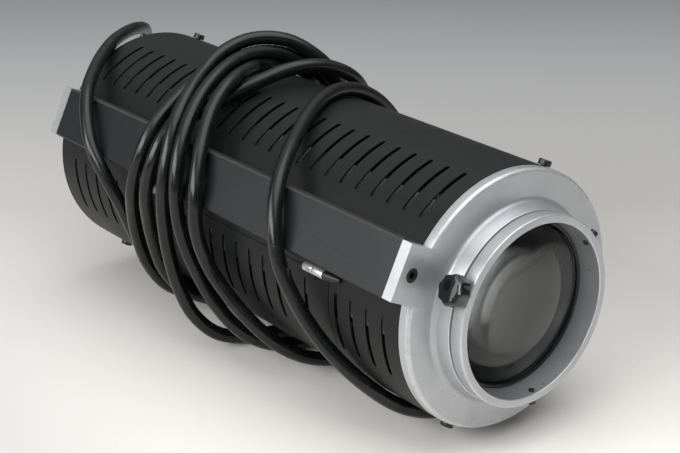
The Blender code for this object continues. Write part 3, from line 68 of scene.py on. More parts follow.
# The cable's centre line: along the axis, to the far side and up
CABLE_RADIUS = 5.0
CABLE_ROUTE = (
    # The loop out of the rear
    (-400, 0, 0), (-424.8, -1.5, -0.3), (-448.4, 5.2, 3.1), (-465.6, 18.4, 15.1),
    (-471.7, 31.8, 34.9), (-463.1, 35.9, 57.4), (-446.4, 26.9, 73.1), (-429.8, 9.9, 80.9),
    (-415, -10, 83.8), (-400.8, -30.5, 83), (-385.8, -50, 78.4),
    # Six turns round the drum and the rail
    (-369.4, -67.8, 72.2), (-351.8, -83.9, 64.5), (-334.6, -95.5, 50.8), (-317.6, -102.2, 33.8),
    (-303.2, -99.9, 13.7), (-295.2, -92.6, -8.8), (-292.7, -84.4, -32.2), (-292.4, -72.4, -54.1),
    (-291.3, -54.9, -71.8), (-288.7, -33.3, -84), (-284.7, -9.3, -89.9), (-279.9, 15.2, -90.4),
    (-273.6, 39.4, -89.5), (-268.6, 61.2, -78.9), (-265.6, 78.6, -61.2), (-263.9, 92.2, -40.3),
    (-263.6, 103.5, -18), (-261.9, 108.6, 6.3), (-261.1, 104.9, 30.7), (-263, 90.6, 51.1),
    (-269.6, 73.6, 68.2), (-278.1, 52.9, 79), (-281.9, 29.3, 86.2), (-281.6, 4.7, 90.2),
    (-278.3, -20, 88.2), (-272.2, -43.4, 82), (-264.2, -65.8, 74.1), (-257.9, -86.7, 62.2),
    (-257.9, -99.5, 41.1), (-265.7, -101.5, 17.8), (-275.8, -95.9, -4.4), (-281.5, -89.4, -27.9),
    (-283.3, -80.7, -51.2), (-284, -66.2, -71.5), (-281.7, -45.3, -84.7), (-276.6, -21.4, -89.8),
    (-271.6, 3.1, -90.3), (-267.4, 27.3, -86.1), (-265.4, 49.7, -75.4), (-261.8, 68.3, -59.2),
    (-258.1, 81.7, -38.5), (-253.4, 89.1, -15.1), (-248.2, 89.9, 9.3), (-244.8, 84, 33.3),
    (-242.6, 73, 55.6), (-237.4, 59.2, 75.8), (-239.3, 42.6, 94), (-250.1, 24.1, 106.7),
    (-261.7, 2.3, 108.9), (-264.3, -21.6, 103.1), (-256.6, -43.7, 94.5), (-245.3, -64.2, 85.5),
    (-234, -82.6, 73.2), (-226.5, -95.6, 53.4), (-224, -102.5, 29.6), (-225.7, -101.8, 4.7),
    (-226.6, -98.3, -20), (-223.8, -93.5, -44.4), (-218, -85.5, -67.3), (-210.6, -69.4, -84.5),
    (-203.5, -46.3, -90.2), (-196.8, -22.2, -90.4), (-190.1, 1.9, -90.4), (-186, 26.5, -90.4),
    (-189.5, 50.7, -87), (-195.2, 67.3, -69.5), (-199.4, 78.6, -47.6), (-203.1, 87, -24.3),
    (-207.6, 90.4, 0), (-212.7, 87.1, 24.2),
    (-216.2, 78.3, 47.3), (-212.5, 65.7, 68.4), (-207.3, 48.6, 85.6), (-210.6, 26.4, 96.1),
    (-215.4, 2, 97.3), (-221.2, -21.5, 91.2), (-229.7, -43, 81.6), (-237.8, -64.8, 72.4),
    (-240.5, -87.3, 62.1), (-240.9, -100.4, 41.2), (-247.7, -101.6, 17.5), (-256.3, -95.3, -5.1),
    (-261.5, -87.9, -28.4), (-264.6, -78.3, -51.3), (-264.5, -62.7, -70.6), (-260.1, -41.4, -82.7),
    (-254.3, -17.9, -88.8), (-249.6, 6.6, -90.1), (-248.6, 30.9, -84.9), (-251.2, 53.4, -74.3),
    (-252.6, 74.2, -60.6), (-253.4, 90.5, -41.8), (-254.9, 98.4, -18.3), (-257.8, 94.3, 5.8),
    (-258, 85.5, 29.2),
    (-257.9, 74.3, 51.4), (-249, 59.5, 69.4), (-245.7, 41.2, 85.5), (-251.4, 20, 97.5),
    (-253.3, -4.4, 101), (-248, -28.6, 98), (-239.6, -51, 90.7), (-229.3, -71.1, 80.1),
    (-218.6, -88, 65.2), (-211.1, -99.2, 44.3), (-208, -102.1, 19.8), (-205.6, -98.7, -4.8),
    (-199.3, -92.5, -28.2), (-189.1, -85, -49.7), (-177.9, -73.1, -68.6), (-171.2, -53.4, -81.9),
    (-170.3, -29.3, -88.4), (-169.8, -4.4, -90.4), (-171.8, 20.3, -88), (-184.2, 40.5, -80.8),
    (-199.9, 56.9, -70.2), (-212.2, 71.9, -54.6), (-223.3, 84.1, -35.8), (-234.7, 94.2, -16),
    (-247.8, 100.8, 4.3), (-262.9, 96.8, 23.3), (-274.2, 83.9, 41.3),
    (-271.8, 67.9, 59.7), (-260.4, 51.3, 74.4), (-256.1, 29.5, 85.4), (-250.4, 5.9, 91.1),
    (-238.7, -15.7, 95.5), (-228.3, -38.3, 94.4), (-218.9, -59.6, 85.5), (-207.4, -77.3, 72.1),
    (-195.4, -91.5, 55.5), (-186.7, -101.1, 34.3), (-185.4, -101.6, 9.5), (-181.6, -95.7, -14.3),
    (-168.4, -88.8, -34.3), (-154, -79.5, -52.5), (-143.5, -64.8, -69.7), (-137.5, -44.4, -82.5),
    (-134.5, -20.5, -89.1), (-133.4, 4.5, -90.2), (-134.8, 28.9, -85.6), (-139.5, 50.8, -74.7),
    (-146.3, 68.7, -58.7), (-154.5, 81.5, -38.9), (-163.3, 88.8, -16.7), (-172.3, 90.1, 6.6),
    (-181.2, 85.4, 29.4),
    # The front turn
    (-186.8, 74.6, 51), (-185.1, 57.8, 69.4), (-182.2, 36.8, 82.5), (-175.9, 13.7, 89.3),
    (-166.2, -9.3, 90), (-154.2, -30.9, 86.2), (-140.9, -51, 79.5), (-126.9, -70.3, 71.9),
    (-113.3, -87.7, 60.6), (-101.8, -99.2, 41.7), (-92.8, -102.4, 18.8), (-84.3, -97.2, -4.1),
    (-72.6, -90.2, -25), (-58, -81.1, -43.2), (-45, -68, -59.9), (-37.5, -49.9, -75.3),
    # The tail along the floor to the plug
    (-35.2, -27.5, -86.1), (-34.3, -3, -90.3), (-33.6, 22, -90.4), (-36, 46.9, -90.4),
    (-42.7, 71, -90.4), (-56.9, 91.4, -90.4), (-76, 107.5, -90), (-98.1, 119.1, -88.6),
    (-121.9, 126.3, -86), (-146.3, 130.2, -82.4), (-171, 131.9, -78.9), (-196, 132, -78.2),
)


def smooth_line(knots):
    """Bezier handles for a curve that runs evenly through its knots."""
    points = [Vector(knot) for knot in knots]
    handles = []
    for i, point in enumerate(points):
        before = points[max(i - 1, 0)]
        after = points[min(i + 1, len(points) - 1)]
        heading = (after - before).normalized()
        handles.append((point - heading * (point - before).length / 3,
                        point + heading * (after - point).length / 3))
    return points, handles


def added(name, data):
    """A new object in the scene."""
    made = bpy.data.objects.new(name, data)
    bpy.context.scene.collection.objects.link(made)
    return made


def cable_curve(name, knots, radius):
    """A round cord along the knots."""
    points, handles = smooth_line(knots)
    curve = bpy.data.curves.new(name, "CURVE")
    curve.dimensions = "3D"
    curve.resolution_u = 5
    curve.bevel_depth = radius * MM
    curve.bevel_resolution = 5
    curve.use_fill_caps = True
    spline = curve.splines.new("BEZIER")
    spline.bezier_points.add(len(points) - 1)
    for target, point, (left, right) in zip(spline.bezier_points, points, handles):
        target.co = LEVEL @ point
        target.handle_left_type = target.handle_right_type = "FREE"
        target.handle_left = LEVEL @ left
        target.handle_right = LEVEL @ right
    return added(name, curve)


# Camera and finishes


def make_camera():
    """A camera at the fitted place."""
    data = bpy.data.cameras.new("camera")
    data.lens = CAMERA_LENS
    data.clip_start = 0.01
    camera = added("camera", data)
    turn = Matrix((CAMERA_RIGHT, -CAMERA_DOWN, CAMERA_BACK)).transposed().to_4x4()
    camera.matrix_world = Matrix.Translation(AXIS + CAMERA_PLACE * MM) @ turn
    bpy.context.scene.camera = camera
    bpy.context.scene.view_settings.view_transform = "Standard"


class Shader:
    """A node material built line by line around one Principled shader."""

    def __init__(self, name):
        self.material = bpy.data.materials.new(name)
        self.material.use_nodes = True
        self.tree = self.material.node_tree
        self.shader = self.tree.nodes["Principled BSDF"]
        self.place = self.tree.nodes.new("ShaderNodeTexCoord").outputs["Object"]

    def set(self, **values):
        for name, value in values.items():
            self.shader.inputs[name.replace("_", " ")].default_value = value

    def link(self, source, target):
        self.tree.links.new(source, target)

    def node(self, kind, **settings):
        made = self.tree.nodes.new(kind)
        for name, value in settings.items():
            setattr(made, name, value)
        return made

    def stretched(self, scale):
        """The object's own place, stretched along its axes."""
        mapping = self.node("ShaderNodeMapping")
        mapping.inputs["Scale"].default_value = scale
        self.link(self.place, mapping.inputs["Vector"])
        return mapping.outputs["Vector"]

    def noise(self, size, detail=3.0, rough=0.55, place=None, warp=0.0):
        """Noise whose features are about the given size in millimetres."""
        made = self.node("ShaderNodeTexNoise")
        made.inputs["Scale"].default_value = 1000.0 / size
        made.inputs["Detail"].default_value = detail
        made.inputs["Roughness"].default_value = rough
        made.inputs["Distortion"].default_value = warp
        self.link(place or self.place, made.inputs["Vector"])
        return made.outputs["Fac"]

    def reach(self, direction):
        """How far the object's own place lies along a direction, in metres."""
        made = self.node("ShaderNodeVectorMath", operation="DOT_PRODUCT")
        self.link(self.place, made.inputs[0])
        made.inputs[1].default_value = direction
        return made.outputs["Value"]

    def ramp(self, source, stops):
        made = self.node("ShaderNodeValToRGB")
        elements = made.color_ramp.elements
        while len(elements) < len(stops):
            elements.new(0.5)
        for element, (place, value) in zip(elements, stops):
            element.position = place
            element.color = (*value, 1.0)
        self.link(source, made.inputs["Fac"])
        return made.outputs["Color"]

    def level(self, source, low, high, out_low, out_high):
        """A value mapped from one range to another, held at its ends."""
        made = self.node("ShaderNodeMapRange")
        names = ("From Min", "From Max", "To Min", "To Max")
        for name, value in zip(names, (low, high, out_low, out_high)):
            made.inputs[name].default_value = value
        self.link(source, made.inputs["Value"])
        return made.outputs["Result"]

    def sum(self, first, second, operation="ADD"):
        """Two values added, or joined by another operation."""
        made = self.node("ShaderNodeMath", operation=operation)
        for slot, value in ((0, first), (1, second)):
            if isinstance(value, (int, float)):
                made.inputs[slot].default_value = value
            else:
                self.link(value, made.inputs[slot])
        return made.outputs["Value"]

    def mix(self, share, first, second):
        """One colour fading to another as the share goes from 0 to 1."""
        made = self.node("ShaderNodeMix", data_type="RGBA")
        self.link(share, made.inputs["Factor"])
        for slot, value in ((6, first), (7, second)):
            if isinstance(value, tuple):
                made.inputs[slot].default_value = (*value, 1.0)
            else:
                self.link(value, made.inputs[slot])
        return made.outputs[2]

    def colour(self, source):
        self.link(source, self.shader.inputs["Base Color"])

    def roughness(self, source):
        self.link(source, self.shader.inputs["Roughness"])

    def bump(self, source, height):
        """Bump whose full range is the given height in millimetres."""
        made = self.node("ShaderNodeBump")
        made.inputs["Distance"].default_value = height * MM
        self.link(source, made.inputs["Height"])
        self.link(made.outputs["Normal"], self.shader.inputs["Normal"])

    def wear(self):
        """How much an edge is rubbed, stored in the mesh."""
        made = self.node("ShaderNodeAttribute", attribute_name="wear")
        return made.outputs["Fac"]


def scaled(colour, share):
    """A colour made darker or lighter, no channel above 1."""
    return tuple(min(1.0, v * share) for v in colour)


GLASS_IOR = 1.42
GLASS_ROUGHNESS = 0.055
# The rail's top edge across the head, in millimetres, and the width of the pale line along it: rubbed paint
# and a painted highlight.
RAIL_LIT_EDGE = 17.7
RUBBED_AND_LIT_WIDTH = 0.9


def cast_silver(name, tone=1.0, metallic=0.55):
    """Silver-grey paint over a sand casting: fine orange peel, grime and rubbed bright edges. A tone below
    one gives a darker copy, used as painted shade.
    """
    s = Shader(name)
    s.set(Metallic=metallic, Specular_IOR_Level=0.5)
    grime = s.noise(34.0, 5.0, 0.6, warp=0.4)
    flake = s.noise(0.5, 2.0)
    base = s.mix(s.level(grime, 0.35, 0.7, 0.0, 1.0), scaled((0.44, 0.45, 0.47), tone),
                 scaled((0.37, 0.38, 0.395), tone))
    base = s.mix(s.level(flake, 0.35, 0.65, 0.0, 0.3), base, scaled((0.54, 0.55, 0.57), tone))
    stain = s.level(s.noise(9.0, 6.0, 0.7), 0.68, 0.78, 0.0, 0.4)
    base = s.mix(stain, base, (0.24, 0.235, 0.23))
    pits = s.level(s.noise(1.6, 3.0, 0.6), 0.70, 0.76, 0.0, 0.55)
    base = s.mix(s.sum(pits, s.level(grime, 0.45, 0.65, 0.0, 1.0), "MULTIPLY"), base, (0.13, 0.13, 0.13))
    base = s.mix(s.sum(s.wear(), s.level(s.noise(4.0, 4.0), 0.35, 0.60, 0.35, 0.8), "MULTIPLY"), base,
                 (0.62, 0.63, 0.645))
    s.colour(base)
    s.roughness(s.level(s.noise(6.0, 4.0), 0.3, 0.7, 0.27, 0.40))
    s.bump(s.noise(1.1, 4.0, 0.6), 0.035)
    return s.material


def black_paint(name, base, dust, rough, shine, edge=None):
    """Satin black paint on sheet: dust lying in it, upward faces paler with dust and painted top light, faint
    rubbed streaks and a slight orange peel.

    An edge that lies this far across the head, in metres, gets a paler line: rubbed paint and a painted
    highlight."""
    s = Shader(name)
    s.set(Specular_IOR_Level=shine)
    blotch = s.noise(46.0, 5.0, 0.6, warp=0.5)
    fine = s.noise(1.4, 5.0, 0.65)
    tone = s.mix(s.level(blotch, 0.32, 0.70, 0.0, 1.0), base, scaled(base, 0.72))
    specks = s.level(s.noise(1.0, 2.0, 0.5), 0.70, 0.78, 0.0, 0.5)
    lying = s.sum(specks, s.level(blotch, 0.45, 0.75, 0.2, 1.0), "MULTIPLY")
    tone = s.mix(lying, tone, dust)
    # Upward faces are paler: dust settled on them, and painted light on the tops.
    facing = s.node("ShaderNodeSeparateXYZ")
    s.link(s.node("ShaderNodeNewGeometry").outputs["Normal"], facing.inputs["Vector"])
    dust_and_top_light = s.sum(s.level(facing.outputs["Z"], 0.6, 1.0, 0.0, 0.14),
                    s.level(s.noise(7.0, 5.0, 0.65), 0.3, 0.65, 0.55, 1.0), "MULTIPLY")
    tone = s.mix(dust_and_top_light, tone, dust)
    streak = s.noise(2.6, 4.0, 0.6, s.stretched((0.12, 1.0, 1.0)))
    tone = s.mix(s.level(streak, 0.66, 0.80, 0.0, 0.45), tone, dust)
    bare = s.sum(s.wear(), s.level(fine, 0.45, 0.60, 0.0, 1.0), "MULTIPLY")
    tone = s.mix(bare, tone, (0.16, 0.165, 0.17))
    if edge:
        # The paler line along this edge is partly rubbed paint and partly a painted highlight where the edge
        # catches the light.
        reach = s.reach((0.0, math.sin(ROLL), math.cos(ROLL)))
        rubbed = s.sum(s.level(reach, edge - RUBBED_AND_LIT_WIDTH * MM, edge, 0.0, 0.8),
                       s.level(fine, 0.35, 0.62, 0.35, 1.0), "MULTIPLY")
        tone = s.mix(rubbed, tone, (0.060, 0.062, 0.056))
    s.colour(tone)
    s.roughness(s.sum(s.level(fine, 0.3, 0.7, rough - 0.05, rough + 0.07),
                      s.level(blotch, 0.3, 0.7, -0.04, 0.05)))
    s.bump(s.noise(0.9, 3.0, 0.5), 0.022)
    return s.material


def plain_metal(name, base, rough, grain, metallic=1.0, turned_marks=False):
    """Bare or plated metal with fine machining marks, small stains and worn highlights."""
    s = Shader(name)
    s.set(Metallic=metallic)
    marks = s.noise(grain, 3.0, 0.6, s.stretched((8.0, 1.0, 1.0) if turned_marks else (1.0, 1.0, 6.0)))
    stain = s.noise(7.0, 5.0, 0.65)
    tone = s.mix(s.level(stain, 0.42, 0.72, 0.0, 0.8), base, scaled(base, 0.55))
    tone = s.mix(s.level(marks, 0.35, 0.65, 0.0, 0.35), tone, scaled(base, 1.25))
    s.colour(tone)
    s.roughness(s.level(marks, 0.3, 0.7, rough - 0.06, rough + 0.10))
    s.bump(marks, 0.01)
    return s.material


def rubber():
    """Smooth black rubber, a little glossy, with dull scuffs, dust and a fine moulded grain."""
    s = Shader("cable_rubber")
    s.set(Specular_IOR_Level=0.4)
    scuff = s.noise(12.0, 5.0, 0.65, warp=0.6)
    fine = s.noise(0.8, 4.0, 0.6)
    tone = s.mix(s.level(scuff, 0.45, 0.72, 0.0, 0.8), (0.0045, 0.005, 0.0052), (0.012, 0.013, 0.0135))
    specks = s.level(s.noise(1.2, 3.0, 0.5), 0.68, 0.78, 0.0, 0.6)
    tone = s.mix(specks, tone, (0.045, 0.047, 0.048))
    s.colour(tone)
    s.roughness(s.sum(s.level(scuff, 0.35, 0.7, 0.17, 0.30), s.level(fine, 0.3, 0.7, -0.02, 0.04)))
    s.bump(s.noise(1.8, 3.0, 0.5), 0.018)
    return s.material


def gloss_plastic(name, base, low, high):
    """Glossy moulded plastic, smeared by fingers, with a little dust."""
    s = Shader(name)
    s.set(Specular_IOR_Level=0.6)
    smear = s.noise(5.0, 4.0, 0.6)
    tone = s.mix(s.level(smear, 0.4, 0.7, 0.0, 1.0), base, scaled(base, 2.0))
    tone = s.mix(s.level(s.noise(0.7, 3.0), 0.72, 0.80, 0.0, 0.7), tone, (0.12, 0.12, 0.12))
    s.colour(tone)
    s.roughness(s.level(smear, 0.35, 0.7, low, high))
    s.bump(s.noise(1.6, 3.0), 0.012)
    return s.material


def matt_solid(name, base, grain, rough):
    """Ceramic, resin or moulded plastic: speckled, with a dry surface."""
    s = Shader(name)
    fleck = s.noise(grain, 4.0, 0.6)
    tone = s.mix(s.level(fleck, 0.35, 0.7, 0.0, 1.0), base, scaled(base, 0.7))
    s.colour(tone)
    s.roughness(s.level(fleck, 0.3, 0.7, rough - 0.08, rough + 0.08))
    s.bump(fleck, 0.03)
    return s.material


def glass(name, tint, dirt):
    """Clear glass with a faint film of dust that dulls it in patches."""
    s = Shader(name)
    s.set(Transmission_Weight=1.0, IOR=GLASS_IOR)
    film = s.noise(18.0, 5.0, 0.6, warp=0.5)
    s.colour(s.mix(s.level(film, 0.3, 0.8, 0.0, 1.0), tint, scaled(tint, 0.93)))
    s.roughness(s.level(film, 0.35, 0.7, GLASS_ROUGHNESS, GLASS_ROUGHNESS + dirt))
    return s.material


FINISH = {
    "cast_silver": cast_silver("cast_silver"),
    # A darker, duller copy of the silver paint: painted shade for the mouth of the lens ring.
    "mouth_silver_painted_shade": cast_silver("mouth_silver_painted_shade", 0.55, 0.25),
    "black_paint": black_paint("black_paint", (0.0075, 0.0085, 0.0085), (0.05, 0.052, 0.05), 0.44, 0.22),
    "rail_black": black_paint("rail_black", (0.0085, 0.0098, 0.011), (0.05, 0.052, 0.053), 0.40, 0.36,
                              RAIL_LIT_EDGE * MM),
    "black_steel": plain_metal("black_steel", (0.035, 0.036, 0.038), 0.36, 0.8, 0.6),
    "bright_steel": plain_metal("bright_steel", (0.78, 0.78, 0.76), 0.34, 0.6, 0.75),
    "dark_steel": plain_metal("dark_steel", (0.22, 0.225, 0.23), 0.36, 0.7),
    "knob_plastic": gloss_plastic("knob_plastic", (0.005, 0.006, 0.0065), 0.06, 0.14),
    "lens_glass": glass("lens_glass", (0.93, 0.97, 0.95), 0.04),
    "lamp_glass": glass("lamp_glass", (0.98, 0.95, 0.82), 0.03),
    "mirror_metal": plain_metal("mirror_metal", (0.72, 0.72, 0.71), 0.14, 1.2, turned_marks=True),
    "tray_metal": plain_metal("tray_metal", (0.17, 0.175, 0.17), 0.5, 1.6, 0.7),
    "ceramic": matt_solid("ceramic", (0.66, 0.60, 0.49), 0.9, 0.62),
    "potting": matt_solid("potting", (0.020, 0.018, 0.022), 2.0, 0.46),
    "cable_rubber": rubber(),
    "plug_plastic": matt_solid("plug_plastic", (0.012, 0.012, 0.013), 0.8, 0.48),
}


# Floor and light


def make_floor():
    """A pale paper floor that runs on behind, with painted light and shade: paler near the head, darker with
    distance and across to either side.
    """
    bm = bmesh.new()
    half = 6.0
    bm.faces.new([bm.verts.new((x * half, y * half, 0.0)) for x, y in ((-1, -1), (1, -1), (1, 1), (-1, 1))])
    mesh = bpy.data.meshes.new("floor")
    bm.to_mesh(mesh)
    floor = added("floor", mesh)
    floor.location = (AXIS.x, AXIS.y, AXIS.z + FLOOR * MM)
    s = Shader("floor")
    s.set(Roughness=0.85, Specular_IOR_Level=0.2)
    along = s.reach((-0.777, 0.629, 0.0))
    across = s.reach((0.0, 1.0, 0.0))
    # Painted light: the floor is paler near the head, lifting its shadow, and darker with distance as the
    # light falls off.
    paper = s.ramp(s.level(along, -0.35, 1.25, 0.0, 1.0),
                   ((0.0, (0.84, 0.83, 0.80)), (0.20, (0.87, 0.85, 0.81)), (0.47, (0.46, 0.45, 0.435)),
                    (0.74, (0.36, 0.365, 0.37)), (0.95, (0.24, 0.245, 0.255))))
    # Painted shade: darker across towards the fill and side lamps, damping their pool of light, and a little
    # darker across on the other side.
    paper = s.mix(s.level(across, -0.25, -0.10, 0.52, 0.0), paper, (0.32, 0.32, 0.32))
    paper = s.mix(s.level(across, 0.03, 0.20, 0.0, 0.12), paper, (0.32, 0.32, 0.32))
    fibre = s.level(s.noise(2.2, 4.0, 0.6), 0.3, 0.7, 0.0, 0.05)
    s.colour(s.mix(fibre, paper, (0.30, 0.295, 0.28)))
    mesh.materials.append(s.material)


def lamp(name, power, size, place, aim=(0.0, 0.0, 0.0)):
    """A soft rectangular lamp, its place and aim counted in metres from the axis."""
    data = bpy.data.lights.new(name, "AREA")
    data.shape = "RECTANGLE"
    data.energy = power
    data.size, data.size_y = size
    made = added(name, data)
    made.location = AXIS + Vector(place)
    heading = Vector(aim) - Vector(place)
    made.rotation_mode = "QUATERNION"
    made.rotation_quaternion = heading.to_track_quat("-Z", "Y")


def make_world():
    """Dim grey light from all round, brighter from above."""
    world = bpy.data.worlds.new("world")
    world.use_nodes = True
    tree = world.node_tree
    split = tree.nodes.new("ShaderNodeSeparateXYZ")
    tree.links.new(tree.nodes.new("ShaderNodeTexCoord").outputs["Generated"], split.inputs["Vector"])
    sky = tree.nodes.new("ShaderNodeValToRGB")
    for element, (place, grey) in zip((*sky.color_ramp.elements, sky.color_ramp.elements.new(0.4)),
                                      ((0.0, 0.14), (1.0, 0.60), (0.42, 0.16))):
        element.position = place
        element.color = (grey * 0.97, grey * 0.99, grey, 1.0)
    tree.links.new(split.outputs["Z"], sky.inputs["Fac"])
    tree.links.new(sky.outputs["Color"], tree.nodes["Background"].inputs["Color"])
    bpy.context.scene.world = world


# Mesh tools


def placed(mesh_source, name, matrix, body, finish, replaces, bevel=0.0, sharp=34.0):
    """Turn a bmesh in millimetres into a finished piece that rides on a body."""
    bmesh.ops.remove_doubles(mesh_source, verts=mesh_source.verts, dist=0.0005)
    mesh_source.transform(matrix)
    bmesh.ops.recalc_face_normals(mesh_source, faces=mesh_source.faces)
    mesh = bpy.data.meshes.new(name)
    mesh_source.to_mesh(mesh)
    mesh_source.free()
    for polygon in mesh.polygons:
        polygon.use_smooth = True
    mesh.set_sharp_from_angle(angle=math.radians(sharp))
    mesh.materials.append(FINISH[finish])
    made = added(name, mesh)
    if bevel:
        soften(made, bevel)
    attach(made, body)
    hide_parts(replaces)
    return made


def repaint(made, here, finish, chosen):
    """Another finish on the faces chosen by their distance along a frame's first axis and out from it."""
    made.data.materials.append(FINISH[finish])
    number = len(made.data.materials) - 1
    back = here.inverted()
    for polygon in made.data.polygons:
        place = back @ polygon.center
        if chosen(place.x, math.hypot(place.y, place.z)):
            polygon.material_index = number


def soften(made, width):
    """Round the sharp edges of a piece by a few tenths of a millimetre."""
    bevel = made.modifiers.new("soft_edges", "BEVEL")
    bevel.width = width * MM
    bevel.segments = 2
    bevel.limit_method = "ANGLE"
    bevel.angle_limit = math.radians(32.0)
    bevel.harden_normals = True


NEARLY_STRAIGHT = math.radians(88.0)


def rounded(outline, steps=4):
    """An outline of (along, out) or (along, out, radius) points, with arcs at the points that have a radius.

    Gives (along, out, wear), where wear is 1 on an arc that bulges and 0 elsewhere."""
    count = len(outline)
    area = 0.0
    for i in range(count):
        a, b = outline[i], outline[(i + 1) % count]
        area += a[0] * b[1] - b[0] * a[1]
    result = []
    for i, corner in enumerate(outline):
        if len(corner) == 2:
            result.append((corner[0], corner[1], 0.0))
            continue
        here = Vector(corner[:2])
        before = Vector(outline[i - 1][:2]) - here
        after = Vector(outline[(i + 1) % count][:2]) - here
        reach_before, reach_after = before.length, after.length
        before.normalize()
        after.normalize()
        half_angle = before.angle(after) / 2
        radius = corner[2]
        if half_angle > NEARLY_STRAIGHT:
            result.append((corner[0], corner[1], 0.0))
            continue
        cut = min(radius / math.tan(half_angle), 0.49 * reach_before, 0.49 * reach_after)
        radius = cut * math.tan(half_angle)
        centre = here + (before + after).normalized() * radius / math.sin(half_angle)
        start = here + before * cut - centre
        end = here + after * cut - centre
        outside = (before.x * after.y - before.y * after.x) * area < 0
        total = start.angle(end)
        for k in range(steps + 1):
            share = k / steps
            spoke = start * math.sin((1 - share) * total) + end * math.sin(share * total)
            point = centre + spoke / math.sin(total)
            result.append((point.x, point.y, 1.0 if outside and 0 < k < steps else 0.0))
    return result


def lathe(outline, steps):
    """A closed outline turned about the first axis."""
    bm = bmesh.new()
    wear = bm.verts.layers.float.new("wear")
    outline = [point if len(point) == 3 else (*point, 0.0) for point in outline]
    rings = []
    for along, out, worn in outline:
        if out < 0.001:
            vert = bm.verts.new((along, 0.0, 0.0))
            vert[wear] = worn
            rings.append([vert] * steps)
            continue
        ring = []
        for i in range(steps):
            turn = math.tau * i / steps
            vert = bm.verts.new((along, out * math.cos(turn), out * math.sin(turn)))
            vert[wear] = worn
            ring.append(vert)
        rings.append(ring)
    count = len(rings)
    for k in range(count):
        first, second = rings[k], rings[(k + 1) % count]
        for i in range(steps):
            j = (i + 1) % steps
            corners = []
            for vert in (first[i], first[j], second[j], second[i]):
                if vert not in corners:
                    corners.append(vert)
            if len(corners) > 2:
                bm.faces.new(corners)
    return bm


def circle(bm, along, out, steps):
    """A ring of vertices round the first axis."""
    return [bm.verts.new((along, out * math.cos(math.tau * i / steps), out * math.sin(math.tau * i / steps)))
            for i in range(steps)]


def skin(bm, loops):
    """Faces between each loop of vertices and the next."""
    count = len(loops[0])
    for lower, upper in zip(loops, loops[1:]):
        for i in range(count):
            j = (i + 1) % count
            bm.faces.new((lower[i], lower[j], upper[j], upper[i]))


def prism(outline, start, end):
    """An outline of (second, third) coordinates run along the first axis."""
    bm = bmesh.new()
    bm.verts.layers.float.new("wear")
    loops = [[bm.verts.new((along, y, z)) for y, z in outline] for along in (start, end)]
    bm.faces.new(loops[0])
    bm.faces.new(loops[1])
    skin(bm, loops)
    return bm


def combine(bm, tool, operation):
    """A boolean between two closed bmeshes."""
    objects = []
    for source in (bm, tool):
        bmesh.ops.recalc_face_normals(source, faces=source.faces)
        mesh = bpy.data.meshes.new("cutting")
        source.to_mesh(mesh)
        source.free()
        objects.append(added("cutting", mesh))
    target, cutter = objects
    boolean = target.modifiers.new("boolean", "BOOLEAN")
    boolean.operation = operation
    boolean.solver = "EXACT"
    boolean.object = cutter
    graph = bpy.context.evaluated_depsgraph_get()
    result = bmesh.new()
    result.from_mesh(target.evaluated_get(graph).to_mesh())
    for made in objects:
        mesh = made.data
        bpy.data.objects.remove(made)
        bpy.data.meshes.remove(mesh)
    return result


def outward(angle):
    """The direction away from the axis at an angle from the rail, counted towards the top."""
    turn = math.radians(angle)
    return Vector((0.0, -math.cos(turn), math.sin(turn)))


def radial(along, angle, distance=0.0):
    """A frame whose first axis points away from the head's axis."""
    out = outward(angle)
    third = Vector((1.0, 0.0, 0.0))
    second = third.cross(out)
    frame_of = Matrix((out, second, third)).transposed().to_4x4()
    return HEAD @ Matrix.Translation(Vector((along, 0.0, 0.0)) + out * distance) @ frame_of


def hexagon(across):
    """A hexagon by its width across flats."""
    reach = across / math.sqrt(3.0)
    return [(reach * math.cos(math.tau * i / 6), reach * math.sin(math.tau * i / 6)) for i in range(6)]


# The drum: a rolled sheet with slots, and the door cut from it

SLOT_HALF = 1.6
SLOT_PLACES = [-14.0 - 15.0 * number for number in range(25)]
# Each row's low and high angle, and the numbers of the places that have no slot
SLOT_ROWS = ((21.8, 50.3, ()), (-50.3, -21.8, (4, 16)))
SHEET_STEP = 3.0
CLOSEST = 0.6
ARC_STEPS = 4
RAIL_GAP_HALF = 18.3
DOOR_ENDS = (-66.3, -261.7)
DOOR_ANGLES = (-118.0, -17.0)
SEAM = 0.5


